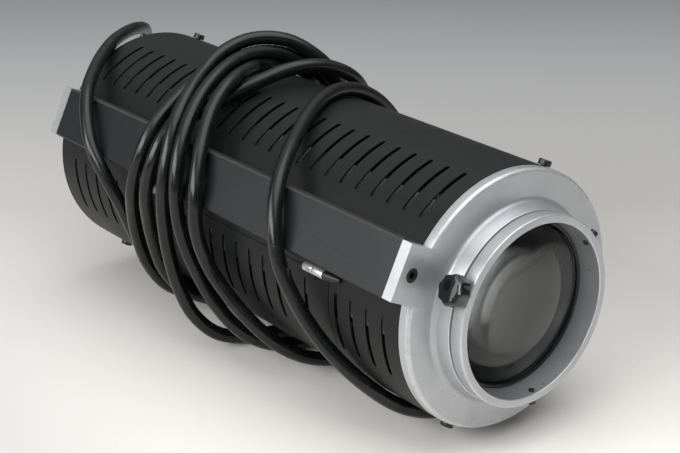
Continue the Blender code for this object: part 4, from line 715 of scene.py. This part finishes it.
def sheet(bounds, holes=()):
    """Part of the rolled sheet between two places and two angles, with its slots, as a closed solid.

    The holes are rectangles (low place, high place, low angle, high angle) left out."""
    back, front, low, high = bounds
    around = high - low > 359.0
    cap = math.degrees(SLOT_HALF / DRUM_RADIUS)
    slots = [(place, row) for row in SLOT_ROWS for number, place in enumerate(SLOT_PLACES)
             if number not in row[2]]
    places = {back, front}
    for place in SLOT_PLACES:
        places.update((place - SLOT_HALF, place, place + SLOT_HALF))
    special = {low, high}
    for row_low, row_high, _ in SLOT_ROWS:
        special.update((row_low, row_low + cap, row_high - cap, row_high))
    for hole in holes:
        places.update(hole[:2])
        special.update(hole[2:])
    places = sorted(p for p in places if back <= p <= front)
    special = {a for a in special if low <= a <= high}
    angles = set(special)
    count = int(round((high - low) / SHEET_STEP))
    for i in range(count + 1):
        angle = low + (high - low) * i / count
        if all(abs(angle - other) > CLOSEST for other in special):
            angles.add(angle)
    angles = sorted(angles)

    points = {}
    order = []

    def vertex(place, angle):
        """The number of the point at a place and angle, the same one on both sides of a full turn."""
        if around and abs(angle - high) < 1e-6:
            angle = low
        key = (round(place, 4), round(angle, 4))
        if key not in points:
            points[key] = len(order)
            order.append(key)
        return points[key]

    faces = []
    for p0, p1 in zip(places, places[1:]):
        for a0, a1 in zip(angles, angles[1:]):
            middle, turn = (p0 + p1) / 2, (a0 + a1) / 2
            if any(hole[0] < middle < hole[1] and hole[2] < turn < hole[3] for hole in holes):
                continue
            hit = None
            for place, (row_low, row_high, _) in slots:
                if abs(middle - place) < SLOT_HALF and row_low < turn < row_high:
                    hit = (place, row_low, row_high)
            if hit is None:
                faces.append([vertex(p0, a0), vertex(p1, a0), vertex(p1, a1), vertex(p0, a1)])
                continue
            place, row_low, row_high = hit
            if row_low + cap < turn < row_high - cap:
                continue
            at_low = turn < row_low + cap
            centre = row_low + cap if at_low else row_high - cap
            edge = row_low if at_low else row_high
            side = -1.0 if middle < place else 1.0
            arc = []
            for k in range(ARC_STEPS + 1):
                bend = math.pi / 2 * k / ARC_STEPS
                arc.append(vertex(place + side * SLOT_HALF * math.sin(bend),
                                  centre + (edge - centre) * math.cos(bend)))
            corner = vertex(place + side * SLOT_HALF, edge)
            faces.append([corner] + arc)

    bm = bmesh.new()
    layers = []
    rim = {}
    for face in faces:
        for a, b in zip(face, face[1:] + face[:1]):
            side = (min(a, b), max(a, b))
            rim[side] = rim.get(side, 0) + 1
    for radius in (DRUM_RADIUS, DRUM_RADIUS - SHEET):
        layer = [bm.verts.new(Vector((place, 0, 0)) + outward(angle) * radius) for place, angle in order]
        layers.append(layer)
        for face in faces:
            bm.faces.new([layer[v] for v in face])
    for (a, b), uses in rim.items():
        if uses == 1:
            bm.faces.new((layers[0][a], layers[0][b], layers[1][b], layers[1][a]))
    return bm


def make_drum():
    seam_angle = math.degrees(SEAM / DRUM_RADIUS)
    notch_angle = math.degrees(math.asin(RAIL_GAP_HALF / DRUM_RADIUS))
    opening = (DOOR_ENDS[1] - SEAM, DOOR_ENDS[0] + SEAM,
               DOOR_ANGLES[0] - seam_angle, DOOR_ANGLES[1] + seam_angle)
    notch = (DRUM_BACK, REAR_FACE + 0.3, -notch_angle, notch_angle)
    placed(sheet((DRUM_BACK, DRUM_FRONT, -180.0, 180.0), (opening, notch)), "drum_sheet", HEAD, "head",
           "black_paint", "housing_shell", sharp=40.0)
    placed(sheet((DOOR_ENDS[1], DOOR_ENDS[0], *DOOR_ANGLES)), "door_sheet", HEAD, "head", "black_paint",
           "access_door", sharp=40.0)


# Castings, lens ring and optics

# The square lug across the head, and the place of the rail's screw in it
LUG_OUTLINE = ((-100.5, -18.0), (-100.5, 18.0), (-80.0, 18.0), (-80.0, -18.0))
RAIL_SCREW_ACROSS = -91.2
COUNTERBORE = 4.55
COUNTERBORE_DEPTH = 5.4
SCREW_HOLE = 2.7
RIM_INSIDE = 78.2
RIM_OUTSIDE = 83.2
COLLAR_FRONT = 19.6
COLLAR_BORE = 59.5
GLAND_HOLE = 8.3
RING_BACK = 20.6
RING_WIDTH = 9.1
RING_FRONT = 29.7
RING_RADIUS = 62.3
BARREL_RADIUS = 59.2
MOUTH_RADIUS = 57.0
SEAT_FRONT = 11.7
SEAT_RADIUS = 55.0
LENS_BACK = 8.9
LENS_RADIUS = 54.0
LENS_CURVE = 102.0


def bored(bm, low, high, radius, steps):
    """A round hole along the axis of the rail's screws, cut out of a casting."""
    hole = lathe([(low, 0.0), (low, radius), (high, radius), (high, 0.0)], steps)
    hole.transform(Matrix.Translation((0.0, RAIL_SCREW_ACROSS, 0.0)))
    return combine(bm, hole, "DIFFERENCE")


def cast_disc(name, outline, steps, lug, counterbore, node):
    """An end casting with its square lug and the hole and counterbore for the rail's screw."""
    bm = combine(lathe(rounded(outline, 5), steps), prism(LUG_OUTLINE, *lug), "UNION")
    bm = bored(bm, *counterbore, COUNTERBORE, 40)
    bm = bored(bm, lug[0] - 2.0, lug[1] + 2.0, SCREW_HOLE, 24)
    placed(bm, name, HEAD, "head", "cast_silver", node, bevel=0.5)


def make_castings():
    front = [(0.0, COLLAR_BORE), (0.0, RIM_INSIDE), (-12.0, RIM_INSIDE, 0.8), (-12.0, RIM_OUTSIDE, 0.6),
             (0.0, RIM_OUTSIDE), (0.0, DRUM_RADIUS, 0.4), (DISC_FRONT, DRUM_RADIUS, 2.8),
             (DISC_FRONT, 64.8, 4.0), (COLLAR_FRONT, 62.6, 0.7), (COLLAR_FRONT, COLLAR_BORE, 0.3)]
    cast_disc("front_disc", front, 160, (0.0, DISC_FRONT),
              (DISC_FRONT - COUNTERBORE_DEPTH, DISC_FRONT + 1.0), "front_casting")
    rear = [(REAR_FACE, GLAND_HOLE), (REAR_FACE, RIM_OUTSIDE, 0.4), (-393.1, RIM_OUTSIDE, 0.6),
            (-393.1, RIM_INSIDE, 0.8), (REAR_BACK, RIM_INSIDE, 2.0), (REAR_BACK, 17.0, 1.5),
            (-389.1, 16.0, 0.6), (-389.1, GLAND_HOLE, 0.3)]
    cast_disc("rear_disc", rear, 120, (REAR_BACK, REAR_FACE),
              (REAR_BACK - 1.0, REAR_BACK + COUNTERBORE_DEPTH), "rear_casting")


def lens_outline(back, radius, curve, edge, steps):
    """A flat back, a short edge and a domed front."""
    apex = back + edge + curve - math.sqrt(curve ** 2 - radius ** 2)
    opening = math.asin(radius / curve)
    outline = [(back, 0.0), (back, radius, 0.4), (back + edge, radius)]
    outline += [(apex - curve * (1 - math.cos(opening * (1 - i / steps))),
                 curve * math.sin(opening * (1 - i / steps))) for i in range(1, steps)]
    return outline + [(apex, 0.0)]


def make_optics():
    barrel = [(-38.0, 56.5), (-38.0, BARREL_RADIUS, 0.4), (RING_BACK, BARREL_RADIUS),
              (RING_BACK, RING_RADIUS, 0.6), (RING_FRONT, RING_RADIUS, 1.2), (RING_FRONT, MOUTH_RADIUS, 0.8),
              (SEAT_FRONT, SEAT_RADIUS), (SEAT_FRONT, 54.3), (8.6, 54.3), (8.6, 51.0), (5.6, 51.0),
              (0.1, 56.5)]
    ring = placed(lathe(rounded(barrel, 5), 144), "lens_ring", HEAD, "barrel", "cast_silver", "lens_barrel")
    behind_glass = SEAT_FRONT + 0.1
    # Painted shade: the bore behind the glass is painted black and the mouth ahead of it gets the darker
    # silver copy, darkening the ring's inside.
    repaint(ring, HEAD, "black_paint", lambda along, out: out < 56.9 and along < behind_glass)
    repaint(ring, HEAD, "mouth_silver_painted_shade", lambda along, out: out < 56.95 and behind_glass < along < 29.0)
    dome = lens_outline(LENS_BACK, LENS_RADIUS, LENS_CURVE, 2.8, 26)
    placed(lathe(rounded(dome), 128), "front_glass", HEAD, "barrel", "lens_glass", "front_lens", sharp=50.0)
    # The holding ring's back lies just ahead of the dome's rim
    held = 52.2
    sag = math.sqrt(LENS_CURVE ** 2 - held ** 2) - math.sqrt(LENS_CURVE ** 2 - LENS_RADIUS ** 2)
    back = SEAT_FRONT + sag + 0.3
    outer = SEAT_RADIUS + (MOUTH_RADIUS - SEAT_RADIUS) * (back - SEAT_FRONT) / (RING_FRONT - SEAT_FRONT) - 0.3
    retainer = [(back, 53.3), (back, outer), (back + 1.5, outer, 0.3), (back + 1.0, 53.3, 0.3)]
    placed(lathe(rounded(retainer), 128), "retaining_ring", HEAD, "barrel", "black_steel",
           "lens_retaining_ring")
    dome = lens_outline(-64.2, 46.0, 92.0, 3.0, 16)
    placed(lathe(rounded(dome), 72), "condenser_glass", HEAD, "head", "lens_glass", "condenser_lens",
           sharp=50.0)


# Screws, knob, hinges

# Shank radius and length, head radius and height
CASING_SCREW = (1.9, 5.6, 4.2, 3.8)
RING_SCREW = (1.9, 7.1, 2.8, 3.0)
RAIL_SCREW = (2.4, 14.0, 4.25, 5.0)


def screw(name, size, matrix, body, node):
    """A socket cap screw along its own first axis, its seat at the origin."""
    radius, length, head_radius, head_height = size
    outline = [(-length, 0.0), (-length, radius, 0.4), (0.0, radius), (0.0, head_radius, 0.3),
               (head_height, head_radius, 0.6), (head_height, 0.0)]
    bm = lathe(rounded(outline, 3), 40)
    socket = prism(hexagon(head_radius * 0.95), head_height * 0.42, head_height + 1.0)
    placed(combine(bm, socket, "DIFFERENCE"), name, matrix, body, "black_steel", node, sharp=30.0)


def make_screws():
    for number, angle in enumerate((90.0, 180.0, -90.0), 1):
        for end, place in (("front", -5.2), ("rear", -384.5)):
            screw("drum_screw_%s_%d" % (end, number), CASING_SCREW, radial(place, angle, DRUM_RADIUS + 0.3),
                  "head", "casing_screw_%s_%d" % (end, number))
    for number, angle in enumerate((118.5, -120.0), 1):
        place = RING_BACK + 0.55 * RING_WIDTH
        screw("lens_screw_%d" % number, RING_SCREW, radial(place, angle, RING_RADIUS + 0.3), "barrel",
              "ring_screw_%d" % number)
    front = HEAD @ Matrix.Translation((2.9, RAIL_SCREW_ACROSS, 0.0))
    rear = HEAD @ Matrix.Translation((-381.0, RAIL_SCREW_ACROSS, 0.0)) @ Matrix.Rotation(math.pi, 4, "Z")
    screw("lug_screw_front", RAIL_SCREW, front, "head", "rail_screw_front")
    screw("lug_screw_rear", RAIL_SCREW, rear, "head", "rail_screw_rear")


# The knob's place along the axis, its own sizes and its screw's
KNOB_PLACE = RING_BACK + 0.45 * RING_WIDTH
KNOB_RADIUS = 9.9
KNOB_BORE = 2.7
FLUTE_DEPTH = 0.9
STUD_RADIUS = 2.4


def make_knob():
    """The lobed clamp knob: eight soft flutes, a nearly flat, slightly domed top and a neck."""
    base, shoulder, top = 63.9, 66.5, 76.1
    steps = 96
    lobes = 8
    # Each ring's height, its share of the radius and its share of the flutes' depth
    rings = ((shoulder, 0.80, 0.6), (shoulder + 0.25, 0.90, 0.9), (shoulder + 0.8, 0.975, 1.0),
             (shoulder + 1.5, 1.0, 1.0), (top - 2.4, 1.0, 1.0), (top - 1.5, 0.985, 1.0),
             (top - 0.9, 0.955, 0.95), (top - 0.55, 0.91, 0.9), (top - 0.36, 0.85, 0.8),
             (top - 0.25, 0.76, 0.5), (top - 0.16, 0.60, 0.2), (top - 0.09, 0.42, 0.0),
             (top - 0.04, 0.25, 0.0), (top, 0.10, 0.0))
    bm = bmesh.new()
    loops = []
    for height, share, lobing in rings:
        loop = []
        for i in range(steps):
            turn = math.tau * i / steps
            dip = FLUTE_DEPTH * lobing * (0.5 - 0.5 * math.cos(lobes * turn)) ** 0.8
            reach = (KNOB_RADIUS - dip) * share
            loop.append(bm.verts.new((height, reach * math.cos(turn), reach * math.sin(turn))))
        loops.append(loop)
    skin(bm, loops)
    bm.faces.new(loops[-1])
    neck = [circle(bm, height, reach, steps)
            for height, reach in ((base, KNOB_BORE), (base, 4.6), (shoulder, 4.6))]
    bore_end = circle(bm, base + 8.3, KNOB_BORE, steps)
    skin(bm, [bore_end, *neck, loops[0]])
    bm.faces.new(bore_end)
    placed(bm, "knob", radial(KNOB_PLACE, 0.0), "knob", "knob_plastic", "clamp_knob", sharp=40.0)
    stud = [(55.5, 0.0), (55.5, 1.6), (56.3, STUD_RADIUS)]
    thread = 0.25
    pitch = 0.8
    turns = 8
    for i in range(turns * 2):
        stud.append((57.0 + i * pitch / 2, STUD_RADIUS - (thread if i % 2 else 0.0)))
    stud += [(63.6, STUD_RADIUS), (71.9, STUD_RADIUS, 0.3), (71.9, 0.0)]
    placed(lathe(rounded(stud), 32), "knob_stud", radial(KNOB_PLACE, 0.0), "stud", "dark_steel",
           "clamp_stud", sharp=25.0)


# The hinge line's angle and distance from the axis, then the sizes of its pieces
HINGE_ANGLE = -15.7
HINGE_OUT = 88.3
KNUCKLE_RADIUS = 3.0
KNUCKLE_BORE = 1.6
KNUCKLE_LENGTH = 9.35
KNUCKLE_GAP = 0.8
PIN_RADIUS = 1.3
LEAF_INSET = 1.0
LEAF_REACH = 7.0
RAIL_WALL = -18.8
LUG_SEAT = DRUM_RADIUS + 0.3


def make_hinge(end, corner, direction):
    """Two knuckles on a pin, a leaf on the rail, a leaf on the door, and the tapered lug on the shell."""
    out = outward(HINGE_ANGLE)
    centre = out * HINGE_OUT
    first = corner + direction * 0.7
    split = first + direction * KNUCKLE_LENGTH
    second = split + direction * KNUCKLE_GAP
    last = second + direction * KNUCKLE_LENGTH
    base = first - direction * 0.3
    tip = base - direction * 12.0
    here = HEAD @ Matrix.Translation(centre)

    def knuckle(start, stop, leaves, name, node):
        """A tube round the pin with leaf outlines joined to it, the leaves painted black."""
        low, high = min(start, stop), max(start, stop)
        bm = lathe(rounded([(low, KNUCKLE_BORE), (low, KNUCKLE_RADIUS, 0.45), (high, KNUCKLE_RADIUS, 0.45),
                            (high, KNUCKLE_BORE)]), 40)
        for leaf in leaves:
            bm = combine(bm, prism(leaf, low + LEAF_INSET, high - LEAF_INSET), "UNION")
        made = placed(bm, name, here, "head", "bright_steel", node)
        repaint(made, here, "black_paint", lambda along, away: away > KNUCKLE_RADIUS + 0.05)

    wall = RAIL_WALL - centre.z
    rail_leaves = ([(-0.5, 2.0), (0.5, 2.0), (0.5, wall - 0.5), (-0.5, wall - 0.5)],
                   [(-LEAF_REACH, wall - 1.0), (1.0, wall - 1.0), (1.0, wall), (-LEAF_REACH, wall)])
    knuckle(first, split, rail_leaves, "hinge_%s_rail_leaf" % end, "hinge_%s_fixed" % end)
    reach = math.degrees(LEAF_REACH / DRUM_RADIUS)
    steps = 8
    rim = [outward(HINGE_ANGLE - 0.6 - (reach - 0.6) * i / steps) for i in range(steps + 1)]
    leaf = [d * (LUG_SEAT + 1.0) - centre for d in rim] + [d * LUG_SEAT - centre for d in reversed(rim)]
    knuckle(second, last, [[(p.y, p.z) for p in leaf]], "hinge_%s_door_leaf" % end, "hinge_%s_moving" % end)

    start, stop = sorted((base - direction * 4.2, last + direction * 0.4))
    pin = [(start, 0.0), (start, PIN_RADIUS), (stop, PIN_RADIUS, 0.5), (stop, 0.0)]
    if direction < 0:
        pin = [(start, 0.0), (start, PIN_RADIUS, 0.5), (stop, PIN_RADIUS), (stop, 0.0)]
    placed(lathe(rounded(pin), 24), "hinge_%s_rod" % end, here, "head", "dark_steel", "hinge_%s_pin" % end,
           sharp=30.0)

    side = Vector((0.0, out.z, -out.y))
    bm = bmesh.new()
    loops = []
    stations = 9
    round_steps = 14
    for k in range(stations):
        share = k / (stations - 1)
        fall = 1 - share ** 1.6
        radius = 1.5 + 1.5 * fall
        rise = 0.3 + 2.7 * fall
        along = base + (tip - base) * share
        loop = []
        for i in range(round_steps + 1):
            turn = math.pi * i / round_steps
            loop.append(out * (LUG_SEAT + rise + radius * math.sin(turn)) + side * radius * math.cos(turn))
        loop += [out * LUG_SEAT - side * radius, out * LUG_SEAT + side * radius]
        loops.append([bm.verts.new(point + Vector((along, 0.0, 0.0))) for point in loop])
    bm.faces.new(loops[0])
    bm.faces.new(loops[-1])
    skin(bm, loops)
    placed(bm, "hinge_%s_root" % end, HEAD, "head", "black_steel", "hinge_%s_lug" % end)


# Cable, its sleeve and its plug

SLEEVE_END = -433.7
SLEEVE_START = -398.7
SLEEVE_RADIUS = 8.6


def make_gland():
    """The cable's gland through the rear casting, with its hexagon."""
    bore = 5.4
    gland = [(-370.1, bore), (-370.1, 8.0, 0.4), (-398.4, 8.0, 0.8), (-398.4, bore, 0.4)]
    bm = combine(lathe(rounded(gland), 48), prism(hexagon(21.6), -395.4, -389.4), "UNION")
    hole = lathe([(-400.0, 0.0), (-400.0, bore), (-360.0, bore), (-360.0, 0.0)], 48)
    placed(combine(bm, hole, "DIFFERENCE"), "gland", HEAD, "head", "black_steel", "cable_gland",
           bevel=0.3, sharp=30.0)


def make_sleeve():
    """The rubber sleeve behind the gland, tapered and ribbed."""
    sleeve = [(SLEEVE_END, 5.05), (SLEEVE_START, 5.05), (SLEEVE_START, SLEEVE_RADIUS, 0.4)]
    ribs = 6
    for i in range(ribs):
        place = -401.5 - 5.0 * i
        out = SLEEVE_RADIUS - 2.2 * (SLEEVE_START - place) / (SLEEVE_START - SLEEVE_END)
        sleeve += [(place, out, 0.3), (place - 0.4, out - 0.9, 0.3), (place - 2.0, out - 1.0, 0.3),
                   (place - 2.4, out - 0.15, 0.3)]
    sleeve += [(SLEEVE_END, SLEEVE_RADIUS - 2.2, 0.4)]
    placed(lathe(rounded(sleeve, 3), 40), "cable_sleeve", LEVEL, "head", "cable_rubber", "strain_relief")


def make_cable():
    cable = cable_curve("cable", CABLE_ROUTE, CABLE_RADIUS)
    cable.data.materials.append(FINISH["cable_rubber"])
    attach(cable, "head")
    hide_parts("cord_lead", "cord_winding", "cord_front_turn")
    return cable


def make_plug():
    """A round plug with a fluted coupling ring, lying where the cable ends."""
    end, before = Vector(CABLE_ROUTE[-1]), Vector(CABLE_ROUTE[-2])
    heading = end - before
    frame_of = LEVEL @ Matrix.Translation(end) @ Matrix.Rotation(math.atan2(heading.y, heading.x), 4, "Z")
    body = [(0.3, 0.0), (0.3, 8.5, 1.0), (16.3, 10.0), (20.3, 14.0, 1.0), (21.3, 15.0, 0.5),
            (68.3, 15.0, 0.5), (68.3, 13.0), (48.3, 13.0), (48.3, 0.0)]
    grip = [(3.5 + 2.6 * i, 8.5 + 1.5 * (3.2 + 2.6 * i) / 16.0) for i in range(5)]
    outline = body[:2]
    for place, out in grip:
        outline += [(place, out, 0.2), (place + 0.3, out - 0.7, 0.2), (place + 1.2, out - 0.65, 0.2),
                    (place + 1.5, out + 0.1, 0.2)]
    outline += body[2:]
    shell = placed(lathe(rounded(outline, 3), 64), "plug_shell", frame_of, "head", "plug_plastic",
                   "plug_body")
    flutes = 36
    steps = flutes * 4
    ring = [(52.3, 15.3), (52.3, 16.2, 0.4), (53.3, 17.0, 0.3), (67.3, 17.0, 0.3), (68.3, 16.2, 0.4),
            (68.3, 15.3)]
    bm = lathe(rounded(ring, 3), steps)
    for vert in bm.verts:
        out = math.hypot(vert.co.y, vert.co.z)
        if out > 16.5 and 53.6 < vert.co.x < 67.0 or out > 16.9:
            turn = math.atan2(vert.co.z, vert.co.y)
            shrink = 1 - 0.022 * (0.5 - 0.5 * math.cos(flutes * turn))
            vert.co.y *= shrink
            vert.co.z *= shrink
    coupling = placed(bm, "plug_nut", frame_of, "head", "dark_steel", "plug_coupling_ring", sharp=40.0)
    insert = lathe(rounded([(48.6, 0.0), (48.6, 12.7), (62.6, 12.7, 0.4), (62.6, 0.0)]), 48)
    for number in range(5):
        turn = math.tau * number / 5
        pin = lathe(rounded([(62.0, 0.0), (62.0, 1.5), (67.8, 1.5, 0.7), (67.8, 0.0)]), 16)
        pin.transform(Matrix.Translation((0.0, 7.5 * math.cos(turn), 7.5 * math.sin(turn))))
        mesh = bpy.data.meshes.new("pin")
        pin.to_mesh(mesh)
        pin.free()
        insert.from_mesh(mesh)
        bpy.data.meshes.remove(mesh)
    pins = placed(insert, "plug_pins", frame_of, "head", "potting", "plug_insert")
    return shell, coupling, pins


def dress_carried_nodes():
    """Give the CAD pieces that stay their finishes, and soften the edges of those that are seen."""
    slots = {row["node"]: row["material_slot"] for row in frame["record"]["subparts"]}
    for name, node in frame["nodes"].items():
        node.data.materials.clear()
        node.data.materials.append(FINISH[slots[name]])
    soften(frame["nodes"]["mounting_rail"], 0.9)


make_camera()
make_gland()
make_sleeve()
cable = make_cable()
plug_pieces = make_plug()
make_drum()
make_castings()
make_optics()
make_screws()
make_knob()
make_hinge("front", DOOR_ENDS[0], -1)
make_hinge("rear", DOOR_ENDS[1], 1)
dress_carried_nodes()
make_floor()
lamp("overhead", 27.0, (2.2, 2.2), (0.35, 0.1, 2.0))
lamp("fill", 38.0, (2.0, 0.9), (-0.1, -1.9, 1.0), (0.0, -0.1, -0.05))
lamp("side", 2.0, (0.24, 0.76), (-0.66, -0.80, 0.36))
make_world()
